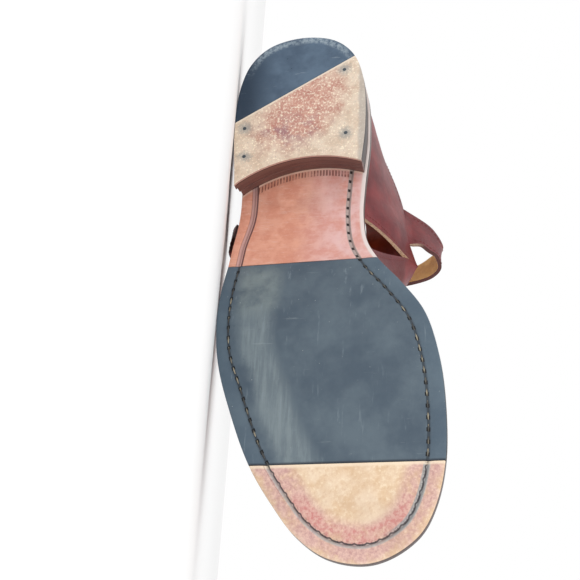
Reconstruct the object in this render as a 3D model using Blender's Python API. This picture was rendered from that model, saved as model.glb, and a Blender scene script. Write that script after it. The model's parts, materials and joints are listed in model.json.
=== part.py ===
"""Fisherman sandal for the left foot, lying on its outer side.

The shoe is worked out in its own frame, in metres: +X runs from heel to toe, +Y to the outer
(little toe) side and +Z up from the plane that both treads share. At the end the whole shoe
is laid on its outer side, with the sole edge and the ankle strap on the plane Z = 0.
"""

import math
from collections import namedtuple

import bmesh
import bpy
import numpy as np
from mathutils import Matrix, Vector

MM = 0.001

# Driving sizes of the sole
SOLE_LENGTH = 282 * MM
BALL_WIDTH = 108.3 * MM
HEEL_LENGTH = 86 * MM
HEEL_WIDTH = 69.4 * MM
HEEL_HEIGHT = 16 * MM
BREAST_RADIUS = 65 * MM
BREAST_HOLLOW = 11.1 * MM
BREAST_LEAN = 2.4 * MM
BREAST_CORNER = 4 * MM
TOE_SPRING = 7.5 * MM
OUTSOLE_THICKNESS = 5.5 * MM
EDGE_BEVEL = 0.6 * MM
RUBBER_THICKNESS = 3 * MM
TOP_LIFT_THICKNESS = 5 * MM
LIFT_COUNT = 2
LIFT_STEP = 0.5 * MM
INSOLE_THICKNESS = 2.4 * MM

# Driving sizes of the upper
FEATHER_AT_HEEL = 1.8 * MM
FEATHER_AT_TOE = 4.2 * MM
UPPER_WALL = 2 * MM
INSTEP_HEIGHT = 74 * MM
T_BAR_WIDTH = 18 * MM
T_BAR_CROWN = 1.1 * MM
T_BAR_DIP = 2.2 * MM
TOE_BOW = 0.9 * MM
CROSS_STRAP_WIDTH = 13 * MM
CAGE_GAP = 10 * MM
CROSS_STRAPS = 3
REAR_BAND = 8 * MM
WEAVE_RISE = 1.3 * MM

# Driving sizes of the ankle strap and its buckle
STRAP_RISE = 97 * MM
STRAP_THICKNESS = 2 * MM
BUCKLE_WIRE = 2.6 * MM
BUCKLE_LENGTH = 17 * MM
BUCKLE_CORNER = 3.5 * MM
BUCKLE_SIDE_PLAY = 0.8 * MM
BAR_SINK = 1.2 * MM
TIP_TAPER = 0.5
PRONG_DIAMETER = 1.8 * MM
KEEPER_WIDTH = 7 * MM
KEEPER_THICKNESS = 1.4 * MM

# Clearance between pieces that touch on the real shoe
FIT = 0.3 * MM

# Lengthwise places on the sole, as shares of its length
RUBBER_FROM = 0.476
RUBBER_TO = 0.850
FLAT_FROM = 0.638
FLAT_TO = 0.798
SPRING_POWER = 1.6

# The oblique line between the top lift's two materials, and the middle of the hollow breast,
# as shares of the heel's length and width
TOP_LIFT_LINE_ALONG = 0.40
TOP_LIFT_LINE_ACROSS = 0.05
TOP_LIFT_SLANT = math.radians(-30)
BREAST_ACROSS = -0.1

# Where the sections of a slab lie, as shares of the sole's length
ROUND_END = (0.0, 0.0014, 0.0066, 0.0193, 0.041, 0.072, 0.11)
SLAB_PITCH = 0.045
RECESS_STEPS = 12

# The rear half of the sole's outline: shares of the heel's length and width
HeelRow = namedtuple("HeelRow", "along half")
HEEL_ROWS = (
    HeelRow(along=0.045, half=0.248),
    HeelRow(along=0.163, half=0.398),
    HeelRow(along=0.360, half=0.480),
    HeelRow(along=0.700, half=0.499),
)

# The rest of the outline: shares of the length ahead of the heel, and of the ball width
SoleRow = namedtuple("SoleRow", "along lateral medial")
SOLE_ROWS = (
    SoleRow(along=0.010, lateral=0.303, medial=-0.299),
    SoleRow(along=0.097, lateral=0.303, medial=-0.295),
    SoleRow(along=0.184, lateral=0.316, medial=-0.317),
    SoleRow(along=0.245, lateral=0.322, medial=-0.370),
    SoleRow(along=0.327, lateral=0.335, medial=-0.480),
    SoleRow(along=0.418, lateral=0.336, medial=-0.583),
    SoleRow(along=0.531, lateral=0.312, medial=-0.640),
    SoleRow(along=0.658, lateral=0.241, medial=-0.662),
    SoleRow(along=0.786, lateral=0.146, medial=-0.655),
    SoleRow(along=0.878, lateral=0.042, medial=-0.613),
    SoleRow(along=0.939, lateral=-0.046, medial=-0.549),
    SoleRow(along=0.985, lateral=-0.166, medial=-0.429),
)
TOE_TIP = -0.313

# Sections of the upper. foot is the place of a section's lowest point, as a share of the
# upper's length; each rim point is where its wall ends: at the top line, the wing, the throat
# or the T-bar. Rim places are shares of the sole's length, ball width and instep height.
Section = namedtuple("Section", "foot lat_along lat med_along med rise round belly_lat belly_med")
SECTIONS = (
    Section(0.000, 0.025, 0.000, 0.025, 0.000, 0.845, 0.0, 0.022, 0.022),
    Section(0.013, 0.034, 0.111, 0.034, -0.111, 0.835, 0.0, 0.022, 0.022),
    Section(0.042, 0.057, 0.199, 0.057, -0.203, 0.797, 0.0, 0.018, 0.018),
    Section(0.104, 0.103, 0.282, 0.106, -0.286, 0.716, 0.0, 0.012, 0.012),
    Section(0.180, 0.160, 0.351, 0.177, -0.365, 0.649, 0.0, 0.004, 0.000),
    Section(0.245, 0.206, 0.392, 0.241, -0.416, 0.696, 0.0, 0.000, 0.008),
    Section(0.340, 0.298, 0.420, 0.337, -0.452, 0.600, 0.0, 0.005, 0.018),
    Section(0.366, 0.333, 0.429, 0.358, -0.471, 0.709, 0.1, 0.008, 0.025),
    Section(0.434, 0.369, 0.416, 0.376, -0.471, 0.797, 0.3, 0.012, 0.040),
    Section(0.506, 0.426, 0.240, 0.429, -0.323, 0.958, 0.8, 0.018, 0.070),
    Section(0.543, 0.465, 0.055, 0.465, -0.111, 1.014, 1.0, 0.020, 0.065),
    Section(0.680, 0.603, -0.028, 0.603, -0.194, 0.790, 1.0, 0.020, 0.030),
    Section(0.825, 0.752, -0.132, 0.752, -0.298, 0.570, 1.0, 0.010, 0.010),
    Section(0.940, 0.872, -0.208, 0.872, -0.374, 0.443, 1.0, 0.006, 0.006),
    Section(0.9975, 0.929, -0.236, 0.929, -0.372, 0.330, 1.0, 0.000, 0.000),
)
SECTION_FULLNESS = 0.86
RIM_ANGLE = math.radians(78)

# How much narrower the T-bar gets over the last share of the upper's length
T_BAR_TAPER = 0.18
TAPER_SHARE = 0.1

# Stations of the closed heel part, as shares of the upper's length
CREASE_FROM = 0.245
CREASE_TO = 0.340
ARCH_FROM = 0.366
ARCH_TIP = 0.396
ARCH_TO = 0.434
ARCH_CLOSING = 2.35
THROAT = 0.543
LAST_STATION = 0.9975
HEEL_STATIONS = (0.0, 0.004, 0.014, 0.030, 0.052, 0.082, 0.118, 0.160, 0.204)
CAP_STATIONS = (0.14, 0.29, 0.45, 0.61, 0.75, 0.87, 0.95, 1.0)

# Rows from the sole up to the rim, as shares of a section's turn
FOOT_BAND = 0.10
RUNNER_FROM = 0.40
RUNNER_TO = 0.54
LOWER_ROWS = 3
UPPER_ROWS = 4
ARCH_TIP_ROW = 7

# The ankle strap's two edges from the inner side over the instep to the outer side:
# shares of the sole's length, the ball width and the strap's rise above the heel seat
StrapRow = namedtuple("StrapRow", "front_along front_across front_up back_along back_across back_up")
STRAP_ROWS = (
    StrapRow(0.333, -0.508, 0.484, 0.257, -0.526, 0.644),
    StrapRow(0.337, -0.545, 0.536, 0.273, -0.573, 0.696),
    StrapRow(0.342, -0.584, 0.588, 0.294, -0.600, 0.737),
    StrapRow(0.352, -0.593, 0.673, 0.299, -0.571, 0.794),
    StrapRow(0.362, -0.559, 0.716, 0.304, -0.531, 0.830),
    StrapRow(0.367, -0.494, 0.753, 0.311, -0.466, 0.876),
    StrapRow(0.367, -0.360, 0.804, 0.317, -0.342, 0.943),
    StrapRow(0.363, -0.185, 0.845, 0.321, -0.203, 0.995),
    StrapRow(0.369, -0.028, 0.871, 0.319, -0.028, 1.005),
    StrapRow(0.363, 0.129, 0.851, 0.314, 0.139, 0.995),
    StrapRow(0.349, 0.277, 0.794, 0.300, 0.305, 0.938),
    StrapRow(0.333, 0.406, 0.706, 0.282, 0.434, 0.851),
    StrapRow(0.316, 0.485, 0.603, 0.255, 0.513, 0.747),
    StrapRow(0.305, 0.485, 0.526, 0.223, 0.503, 0.665),
)

# Places along the strap, counted in rows of its table, where row 0 is the inner crease
STEPS_PER_ROW = 2
T_BAR_ROW = 9
BUCKLE_ROW = 11.5
KEEPER_ROW = 13.3
TIP_ROW = 14.3

Finish = namedtuple("Finish", "red green blue roughness metallic")
BURGUNDY_LEATHER = Finish(0.22, 0.045, 0.045, 0.38, 0.0)
SOLE_LEATHER = Finish(0.62, 0.38, 0.27, 0.6, 0.0)
SLATE_RUBBER = Finish(0.10, 0.14, 0.18, 0.7, 0.0)
DARK_EDGE = Finish(0.07, 0.04, 0.035, 0.45, 0.0)
PALE_LEATHER = Finish(0.72, 0.58, 0.44, 0.65, 0.0)
TAN_LINING = Finish(0.55, 0.33, 0.13, 0.6, 0.0)
BRASS = Finish(0.60, 0.43, 0.18, 0.3, 1.0)


def remove_all_objects():
    """Empty the file, so that the script gives the same model each time."""
    for thing in list(bpy.data.objects):
        bpy.data.objects.remove(thing, do_unlink=True)


def material(name, finish):
    """A Principled material, made once for each name."""
    made = bpy.data.materials.get(name) or bpy.data.materials.new(name)
    made.use_nodes = True
    shader = made.node_tree.nodes["Principled BSDF"]
    shader.inputs["Base Color"].default_value = (finish.red, finish.green, finish.blue, 1.0)
    shader.inputs["Roughness"].default_value = finish.roughness
    shader.inputs["Metallic"].default_value = finish.metallic
    return made


def add_object(name, mesh_builder, finish, smooth=True):
    """Turn a bmesh into a named object with its own material."""
    mesh = bpy.data.meshes.new(name)
    mesh_builder.to_mesh(mesh)
    mesh_builder.free()
    if smooth:
        mesh.shade_smooth()
        mesh.set_sharp_from_angle(angle=math.radians(35))
    thing = bpy.data.objects.new(name, mesh)
    bpy.context.scene.collection.objects.link(thing)
    mesh.materials.append(material(name, finish))
    return thing


def through(knots, values, place):
    """Read a smooth curve through a table's values at one place."""
    knots = np.asarray(knots, dtype=float)
    values = np.asarray(values, dtype=float)
    slopes = np.gradient(values, knots, axis=0)
    i = int(np.clip(np.searchsorted(knots, place) - 1, 0, len(knots) - 2))
    span = knots[i + 1] - knots[i]
    s = (place - knots[i]) / span
    start = (1 + 2 * s) * (1 - s) ** 2 * values[i] + s * (1 - s) ** 2 * span * slopes[i]
    end = s * s * (3 - 2 * s) * values[i + 1] + s * s * (s - 1) * span * slopes[i + 1]
    return start + end


def smooth_loop(points, steps):
    """A closed centripetal spline through the points."""
    points = [np.array(p, dtype=float) for p in points]
    count = len(points)
    loop = []
    for i in range(count):
        a, b, c, d = (points[(i + k) % count] for k in (-1, 0, 1, 2))
        ta = 0.0
        tb = ta + math.sqrt(np.linalg.norm(b - a))
        tc = tb + math.sqrt(np.linalg.norm(c - b))
        td = tc + math.sqrt(np.linalg.norm(d - c))
        for step in range(steps):
            t = tb + (tc - tb) * step / steps
            ab = a * (tb - t) / (tb - ta) + b * (t - ta) / (tb - ta)
            bc = b * (tc - t) / (tc - tb) + c * (t - tb) / (tc - tb)
            cd = c * (td - t) / (td - tc) + d * (t - tc) / (td - tc)
            abc = ab * (tc - t) / (tc - ta) + bc * (t - ta) / (tc - ta)
            bcd = bc * (td - t) / (td - tb) + cd * (t - tb) / (td - tb)
            loop.append(abc * (tc - t) / (tc - tb) + bcd * (t - tb) / (tc - tb))
    return np.array(loop)


class Outline:
    """A closed outline seen from above, read as an outer and an inner side."""

    def __init__(self, loop):
        self.loop = loop
        ahead = np.roll(loop, -1, axis=0) - np.roll(loop, 1, axis=0)
        ahead /= np.linalg.norm(ahead, axis=1)[:, None]
        self.outward = np.column_stack((-ahead[:, 1], ahead[:, 0]))
        self.back_index = int(np.argmin(loop[:, 0]))
        self.tip_index = int(np.argmax(loop[:, 0]))
        self.back = loop[self.back_index, 0]
        self.tip = loop[self.tip_index, 0]

    def inset(self, margin):
        """The same outline, moved inwards by margin(x)."""
        amounts = np.array([margin(x) for x in self.loop[:, 0]])
        return Outline(self.loop - self.outward * amounts[:, None])

    def side(self, sign):
        """Indices of one side, from the back of the heel to the tip of the toe."""
        count = len(self.loop)
        steps = (self.tip_index - self.back_index) % count
        if sign > 0:
            return [(self.back_index + k) % count for k in range(steps + 1)]
        return [(self.back_index - k) % count for k in range(count - steps + 1)]

    def at(self, sign, x):
        """The point and the outward direction of one side at x."""
        chosen = self.side(sign)
        xs = np.maximum.accumulate(self.loop[chosen, 0])
        columns = np.column_stack((self.loop[chosen], self.outward[chosen]))
        y, nx, ny = (np.interp(x, xs, columns[:, k]) for k in (1, 2, 3))
        return np.array((x, y)), np.array((nx, ny)) / math.hypot(nx, ny)


def sole_outline():
    """The outsole's outline, through the rows of both tables."""
    front = SOLE_LENGTH - HEEL_LENGTH
    lateral = [(row.along * HEEL_LENGTH, row.half * HEEL_WIDTH) for row in HEEL_ROWS]
    medial = [(x, -y) for x, y in lateral]
    for row in SOLE_ROWS:
        x = HEEL_LENGTH + row.along * front
        lateral.append((x, row.lateral * BALL_WIDTH))
        medial.append((x, row.medial * BALL_WIDTH))
    tip = (SOLE_LENGTH, TOE_TIP * BALL_WIDTH)
    return Outline(smooth_loop([(0.0, 0.0)] + lateral + [tip] + medial[::-1], 24))


def ease(s):
    """Rise smoothly from 0 to 1."""
    s = min(max(s, 0.0), 1.0)
    return s * s * (3 - 2 * s)


def sole_bottom(x):
    """Height of the outsole's underside: heel seat, arch, flat forefoot and toe spring."""
    flat_from = FLAT_FROM * SOLE_LENGTH
    flat_to = FLAT_TO * SOLE_LENGTH
    arch = HEEL_HEIGHT * (1 - ease((x - HEEL_LENGTH) / (flat_from - HEEL_LENGTH)))
    past = max(0.0, x - flat_to) / (SOLE_LENGTH - flat_to)
    return arch + TOE_SPRING * past ** SPRING_POWER


def sole_top(x):
    """Height of the outsole's upper face."""
    return sole_bottom(x) + OUTSOLE_THICKNESS


def feather_margin(x):
    """How far the upper stands in from the sole's edge."""
    share = ease((x - HEEL_LENGTH) / (FLAT_TO * SOLE_LENGTH - HEEL_LENGTH))
    return FEATHER_AT_HEEL + (FEATHER_AT_TOE - FEATHER_AT_HEEL) * share


def stations_between(start, end):
    """Places along a slab, drawn together towards its round ends."""
    places = [start + share * SOLE_LENGTH for share in ROUND_END]
    last = [end - share * SOLE_LENGTH for share in ROUND_END][::-1]
    middle = max(2, round((last[0] - places[-1]) / (SLAB_PITCH * SOLE_LENGTH)))
    inner = [places[-1] + (last[0] - places[-1]) * k / middle for k in range(1, middle)]
    return places + inner + last


def slab(outline, places, bottom, top, bevel):
    """A flat-sided solid between two heights, with its edges bevelled."""
    built = bmesh.new()
    rings = []
    for x in places:
        low, high = bottom(x), top(x)
        lateral, lateral_out = outline.at(1, x)
        medial, medial_out = outline.at(-1, x)
        levels = ((low, bevel), (low + bevel, 0.0), (high - bevel, 0.0), (high, bevel))
        left = [(*(lateral - lateral_out * inset), z) for z, inset in levels]
        right = [(*(medial - medial_out * inset), z) for z, inset in levels]
        ring = [(x, p[1], p[2]) for p in left + right[::-1]]
        rings.append([built.verts.new(p) for p in ring])
    for ring, following in zip(rings, rings[1:]):
        count = len(ring)
        for k in range(count):
            built.faces.new((ring[k], following[k], following[(k + 1) % count], ring[(k + 1) % count]))
    built.faces.new(rings[0])
    built.faces.new(rings[-1][::-1])
    bmesh.ops.recalc_face_normals(built, faces=built.faces)
    return built


def cut(thing, cutter_mesh, name, operation="DIFFERENCE"):
    """Cut one object with a hidden tool."""
    cutter = add_object(name, cutter_mesh, DARK_EDGE, smooth=False)
    cutter.hide_render = True
    cutter.display_type = "WIRE"
    modifier = thing.modifiers.new(name, "BOOLEAN")
    modifier.operation = operation
    modifier.object = cutter
    return cutter


def make_outsole(outline):
    """The leather outsole, thinned under the forefoot where the rubber is let in."""
    places = stations_between(outline.back + FIT / 2, outline.tip - FIT / 2)
    mesh = slab(outline, places, sole_bottom, sole_top, EDGE_BEVEL)
    outsole = add_object("outsole", mesh, SOLE_LEATHER)
    start, end = RUBBER_FROM * SOLE_LENGTH, RUBBER_TO * SOLE_LENGTH
    steps = [start + (end - start) * k / RECESS_STEPS for k in range(RECESS_STEPS + 1)]
    around = outline.inset(lambda x: -OUTSOLE_THICKNESS)

    def below(x):
        return sole_bottom(x) - OUTSOLE_THICKNESS

    def seat(x):
        return sole_bottom(x) + RUBBER_THICKNESS + FIT

    recess = cut(outsole, slab(around, steps, below, seat, 0.0), "rubber_recess")
    return [outsole], [recess]


def make_forefoot_rubber(outline):
    """The rubber half sole, let in flush from edge to edge."""
    start, end = RUBBER_FROM * SOLE_LENGTH + FIT, RUBBER_TO * SOLE_LENGTH - FIT
    flat_from = FLAT_FROM * SOLE_LENGTH
    flat_to = FLAT_TO * SOLE_LENGTH
    rear = [start + (flat_from - start) * k / 4 for k in range(4)]
    middle = [flat_from + (flat_to - flat_from) * k / 3 for k in range(3)]
    front = [flat_to, (flat_to + end) / 2, end]

    def seat(x):
        return sole_bottom(x) + RUBBER_THICKNESS

    mesh = slab(outline, rear + middle + front, sole_bottom, seat, EDGE_BEVEL / 2)
    return [add_object("forefoot_rubber", mesh, SLATE_RUBBER)]


def breast_point(y, forward):
    """A point of the heel's hollow front face."""
    centre_x = HEEL_LENGTH - BREAST_HOLLOW + BREAST_RADIUS
    centre_y = BREAST_ACROSS * HEEL_WIDTH
    return (centre_x + forward - math.sqrt(BREAST_RADIUS ** 2 - (y - centre_y) ** 2), y)


def heel_outline(outline, inset, forward):
    """The heel's outline: round the back, and hollow at the breast."""
    shrunk = outline.inset(lambda x: inset)
    shares = (0.0, 0.004, 0.02, 0.06, 0.12, 0.2, 0.32, 0.46, 0.62, 0.8, 1.0)
    sides = []
    for sign in (1, -1):
        corner_y = shrunk.at(sign, HEEL_LENGTH - BREAST_CORNER)[0][1]
        corner_x = breast_point(corner_y, forward)[0]
        start = shrunk.back + FIT / 2
        sides.append([tuple(shrunk.at(sign, start + (corner_x - start) * s)[0]) for s in shares])
    lateral, medial = sides
    first, last = lateral[-1][1], medial[-1][1]
    breast = [breast_point(first + (last - first) * k / 10, forward) for k in range(1, 10)]
    return lateral + breast + medial[::-1]


def clip(polygon, origin, normal):
    """Keep the part of a polygon that lies ahead of a line."""
    kept = []
    for here, there in zip(polygon, polygon[1:] + polygon[:1]):
        a = (here[0] - origin[0]) * normal[0] + (here[1] - origin[1]) * normal[1]
        b = (there[0] - origin[0]) * normal[0] + (there[1] - origin[1]) * normal[1]
        if a >= 0:
            kept.append(here)
        if a * b < 0:
            s = a / (a - b)
            kept.append((here[0] + (there[0] - here[0]) * s, here[1] + (there[1] - here[1]) * s))
    return kept


def prism(lower, z_low, upper, z_high):
    """A solid between two outlines that have the same number of points."""
    built = bmesh.new()
    bottom = [built.verts.new((x, y, z_low)) for x, y in lower]
    top = [built.verts.new((x, y, z_high)) for x, y in upper]
    built.faces.new(bottom[::-1])
    built.faces.new(top)
    count = len(bottom)
    for k in range(count):
        built.faces.new((bottom[k], bottom[(k + 1) % count], top[(k + 1) % count], top[k]))
    bmesh.ops.recalc_face_normals(built, faces=built.faces)
    return built


def make_heel(outline):
    """The stacked lifts, and the top lift in rubber behind and leather in front."""
    made = []
    lift = (HEEL_HEIGHT - TOP_LIFT_THICKNESS) / LIFT_COUNT
    for k in range(LIFT_COUNT):
        z_low = TOP_LIFT_THICKNESS + k * lift
        inset = LIFT_STEP * (k + 1)
        lean_low = BREAST_LEAN * (1 - z_low / HEEL_HEIGHT)
        lean_high = BREAST_LEAN * (1 - (z_low + lift) / HEEL_HEIGHT)
        lower = heel_outline(outline, inset, lean_low)
        upper = heel_outline(outline, inset, lean_high)
        mesh = prism(lower, z_low, upper, z_low + lift - FIT)
        made.append(add_object(f"heel_lift_{k + 1}", mesh, DARK_EDGE, smooth=False))
    tread = heel_outline(outline, 0.0, BREAST_LEAN)
    line_point = (TOP_LIFT_LINE_ALONG * HEEL_LENGTH, TOP_LIFT_LINE_ACROSS * HEEL_WIDTH)
    ahead = (math.cos(TOP_LIFT_SLANT), math.sin(TOP_LIFT_SLANT))
    behind = (-ahead[0], -ahead[1])
    front_point = (line_point[0] + ahead[0] * FIT / 2, line_point[1] + ahead[1] * FIT / 2)
    rear_point = (line_point[0] - ahead[0] * FIT / 2, line_point[1] - ahead[1] * FIT / 2)
    top = TOP_LIFT_THICKNESS - FIT
    leather = clip(tread, front_point, ahead)
    rubber = clip(tread, rear_point, behind)
    made.append(add_object("top_lift_leather", prism(leather, 0.0, leather, top), PALE_LEATHER, False))
    made.append(add_object("top_lift_rubber", prism(rubber, 0.0, rubber, top), SLATE_RUBBER, False))
    return made


def make_insole(outline):
    """The insole, inside the upper's wall."""
    inner = outline.inset(lambda x: feather_margin(x) + UPPER_WALL + 2 * FIT)
    places = stations_between(inner.back + FIT, inner.tip - FIT)

    def low(x):
        return sole_top(x) + FIT

    def high(x):
        return sole_top(x) + FIT + INSOLE_THICKNESS

    return [add_object("insole", slab(inner, places, low, high, EDGE_BEVEL), TAN_LINING)]


class Last:
    """The shape that the upper is drawn over, as walls that rise from the sole to a rim."""

    def __init__(self, outline):
        self.foot_line = outline.inset(feather_margin)
        self.knots = [row.foot for row in SECTIONS]
        self.length = self.foot_line.tip - self.foot_line.back

    def column(self, name, share):
        """One column of the table of sections, read smoothly."""
        return float(through(self.knots, [getattr(row, name) for row in SECTIONS], share))

    def foot(self, sign, share):
        """The lowest point of a wall, and the direction out of the shoe there."""
        x = self.foot_line.back + share * self.length
        if share == 0.0:
            index = self.foot_line.back_index
            point, outward = self.foot_line.loop[index], self.foot_line.outward[index]
        else:
            point, outward = self.foot_line.at(sign, x)
        return np.array((*point, sole_top(x) + FIT)), np.array((*outward, 0.0))

    def rim(self, sign, share):
        """The highest point of a wall."""
        along, across = ("lat_along", "lat") if sign > 0 else ("med_along", "med")
        x_foot = self.foot_line.back + share * self.length
        x = self.column(along, share) * SOLE_LENGTH
        y = self.column(across, share) * BALL_WIDTH
        if share > THROAT - 1e-6:
            middle = (self.column("lat", share) + self.column("med", share)) / 2 * BALL_WIDTH
            narrowing = 1 - T_BAR_TAPER * ease((share - 1 + TAPER_SHARE) / TAPER_SHARE)
            y = middle + sign * T_BAR_WIDTH / 2 * narrowing
        return np.array((x, y, sole_top(x_foot) + self.column("rise", share) * INSTEP_HEIGHT))

    def wall(self, sign, share, turn):
        """A point of the upper's outer face, at a share of the way up its section."""
        foot, outward = self.foot(sign, share)
        rim = self.rim(sign, share)
        rounding = min(max(self.column("round", share), 0.0), 1.0)
        angle = turn * RIM_ANGLE
        inward = (1 - math.cos(angle) ** SECTION_FULLNESS) / (1 - math.cos(RIM_ANGLE) ** SECTION_FULLNESS)
        upward = (math.sin(angle) / math.sin(RIM_ANGLE)) ** SECTION_FULLNESS
        across = turn + (inward - turn) * rounding
        rising = turn + (upward - turn) * rounding
        belly = self.column("belly_lat" if sign > 0 else "belly_med", share) * BALL_WIDTH
        point = foot + (rim - foot) * np.array((across, across, rising))
        return point + outward * belly * math.sin(math.pi * turn)


def cage_stations(length):
    """Foot places of the vamp's cross straps and gaps, and of the toe cap behind them."""
    strap, gap = CROSS_STRAP_WIDTH / length, CAGE_GAP / length
    places, kinds = [THROAT, THROAT + REAR_BAND / length], ["wall"]
    for _ in range(CROSS_STRAPS):
        places += [places[-1] + gap, places[-1] + gap + strap / 2, places[-1] + gap + strap]
        kinds += ["gap", "strap", "strap"]
    places.append(places[-1] + gap)
    kinds.append("gap")
    start = places[-1]
    places += [start + (LAST_STATION - start) * share for share in CAP_STATIONS]
    kinds += ["cap"] * len(CAP_STATIONS)
    return places, kinds


def upper_stations(length):
    """Every station of the upper with the kind of wall that follows it."""
    crease = (CREASE_FROM, (CREASE_FROM + CREASE_TO) / 2, CREASE_TO)
    places = list(HEEL_STATIONS) + list(crease) + [ARCH_FROM, ARCH_TO]
    kinds = ["wall"] * (len(places) - 2) + ["arch"]
    places += [ARCH_TO + (THROAT - ARCH_TO) * share for share in (0.33, 0.66)]
    kinds += ["wall", "wall", "wall"]
    cage, cage_kinds = cage_stations(length)
    return places + cage, kinds + cage_kinds


def turn_rows():
    """Heights of the rows of the wall."""
    rows = [0.0]
    rows += [FOOT_BAND + (RUNNER_FROM - FOOT_BAND) * k / LOWER_ROWS for k in range(LOWER_ROWS + 1)]
    rows += [RUNNER_TO + (1 - RUNNER_TO) * k / UPPER_ROWS for k in range(UPPER_ROWS + 1)]
    return rows


def beside_arch(share, turn, tip_turn):
    """Where a station lies at one height: the two beside the arch cut-out close on its tip."""
    if share not in (ARCH_FROM, ARCH_TO):
        return share
    closing = min(turn / tip_turn, 1.0) ** ARCH_CLOSING
    return share + (ARCH_TIP - share) * closing


class Band:
    """The ankle strap's path, read between two edges."""

    def __init__(self, last):
        seat = HEEL_HEIGHT + OUTSOLE_THICKNESS
        rows = []
        for row in STRAP_ROWS:
            front = (row.front_along * SOLE_LENGTH, row.front_across * BALL_WIDTH,
                     seat + row.front_up * STRAP_RISE)
            back = (row.back_along * SOLE_LENGTH, row.back_across * BALL_WIDTH,
                    seat + row.back_up * STRAP_RISE)
            rows.append((front, back))
        self.rows = np.array([self.base(last, -1)] + rows + [self.base(last, 1)])
        self.knots = np.arange(len(self.rows), dtype=float)

    def base(self, last, sign):
        """The strap's end along the crease of the heel part."""
        lift = np.array((0.0, 0.0, FIT))
        return (last.rim(sign, CREASE_TO) + lift, last.rim(sign, CREASE_FROM) + lift)

    def edges(self, row):
        """Front and back edge at a row, counted along the strap."""
        return through(self.knots, self.rows, row)

    def frame(self, row):
        """Middle, direction along, direction to the back edge, and direction outwards."""
        front, back = self.edges(row)
        step = 0.02
        low, high = max(row - step, 0.0), min(row + step, self.knots[-1])
        along = self.edges(high).mean(axis=0) - self.edges(low).mean(axis=0)
        along /= np.linalg.norm(along)
        across = back - front
        across /= np.linalg.norm(across)
        outward = np.cross(along, across)
        outward /= np.linalg.norm(outward)
        return (front + back) / 2, along, across, outward

    def pace(self, row):
        """Length of the strap from half a row before to half a row after."""
        ahead = self.edges(row + 0.5).mean(axis=0) - self.edges(row - 0.5).mean(axis=0)
        return float(np.linalg.norm(ahead))

    def point(self, row, side, offset):
        """A point at side -1 (front edge) to 1 (back edge), offset outwards."""
        front, back = self.edges(row)
        outward = self.frame(row)[3]
        return (front + back) / 2 + (back - front) / 2 * side + outward * offset


def thicken(thing, thickness, direction):
    """Give a sheet its wall, to the side away from its faces for direction -1."""
    wall = thing.modifiers.new("wall", "SOLIDIFY")
    wall.thickness = thickness
    wall.offset = direction
    wall.use_even_offset = True
    wall.use_quality_normals = True


def add_grid(built, grid, keep=lambda i, j: True, flip=False):
    """Faces of a grid of points, apart from the cells that are left open."""
    verts = [[built.verts.new(p) for p in line] for line in grid]
    for i in range(len(verts) - 1):
        for j in range(len(verts[0]) - 1):
            if keep(i, j):
                corners = (verts[i][j], verts[i + 1][j], verts[i + 1][j + 1], verts[i][j + 1])
                built.faces.new(corners[::-1] if flip else corners)
    return verts


def is_open(kind, j):
    """Whether a cell of the side wall is a gap of the cage or of the arch cut-out."""
    if kind == "arch":
        return True
    lower = 1 <= j < 1 + LOWER_ROWS
    upper = j > 1 + LOWER_ROWS
    return kind == "gap" and (lower or upper)


def woven(last, sign, share, turn, raised):
    """A point of the wall, lifted where one strip passes over another."""
    point = last.wall(sign, share, turn)
    if not raised:
        return point
    step = 0.01
    along = last.wall(sign, min(share + step, LAST_STATION), turn) - last.wall(sign, share - step, turn)
    around = last.wall(sign, share, min(turn + step, 1.0)) - last.wall(sign, share, turn - step)
    normal = np.cross(along, around) * sign
    normal /= np.linalg.norm(normal)
    if normal[2] < 0:
        normal = -normal
    return point + normal * WEAVE_RISE


def make_upper(last, band):
    """The heel part, wings, cage and T-bar: one wall with its gaps left open."""
    built = bmesh.new()
    places, kinds = upper_stations(last.length)
    middles = {i for i in range(1, len(kinds)) if kinds[i - 1] == kinds[i] == "strap"}
    runner = (1 + LOWER_ROWS, 2 + LOWER_ROWS)
    rows = turn_rows()
    tip_turn = rows[ARCH_TIP_ROW]
    for sign in (1, -1):
        grid = []
        for i, share in enumerate(places):
            line = []
            for j, turn in enumerate(rows):
                place = beside_arch(share, turn, tip_turn)
                line.append(woven(last, sign, place, turn, i in middles and j in runner))
            grid.append(line)
        add_grid(built, grid, lambda i, j: not is_open(kinds[i], j), flip=sign > 0)
    add_t_bar(built, last, band, places, middles)
    bmesh.ops.remove_doubles(built, verts=built.verts, dist=0.01 * MM)
    upper = add_object("upper", built, BURGUNDY_LEATHER)
    thicken(upper, UPPER_WALL, -1.0)
    return [upper]


def t_bar_line(lateral, medial, crown):
    """Five points from one edge of the T-bar to the other, bowed upwards."""
    line = []
    for k in range(5):
        s = k / 4
        point = lateral + (medial - lateral) * s
        line.append(point + np.array((0.0, 0.0, crown * 4 * s * (1 - s))))
    return line


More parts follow.
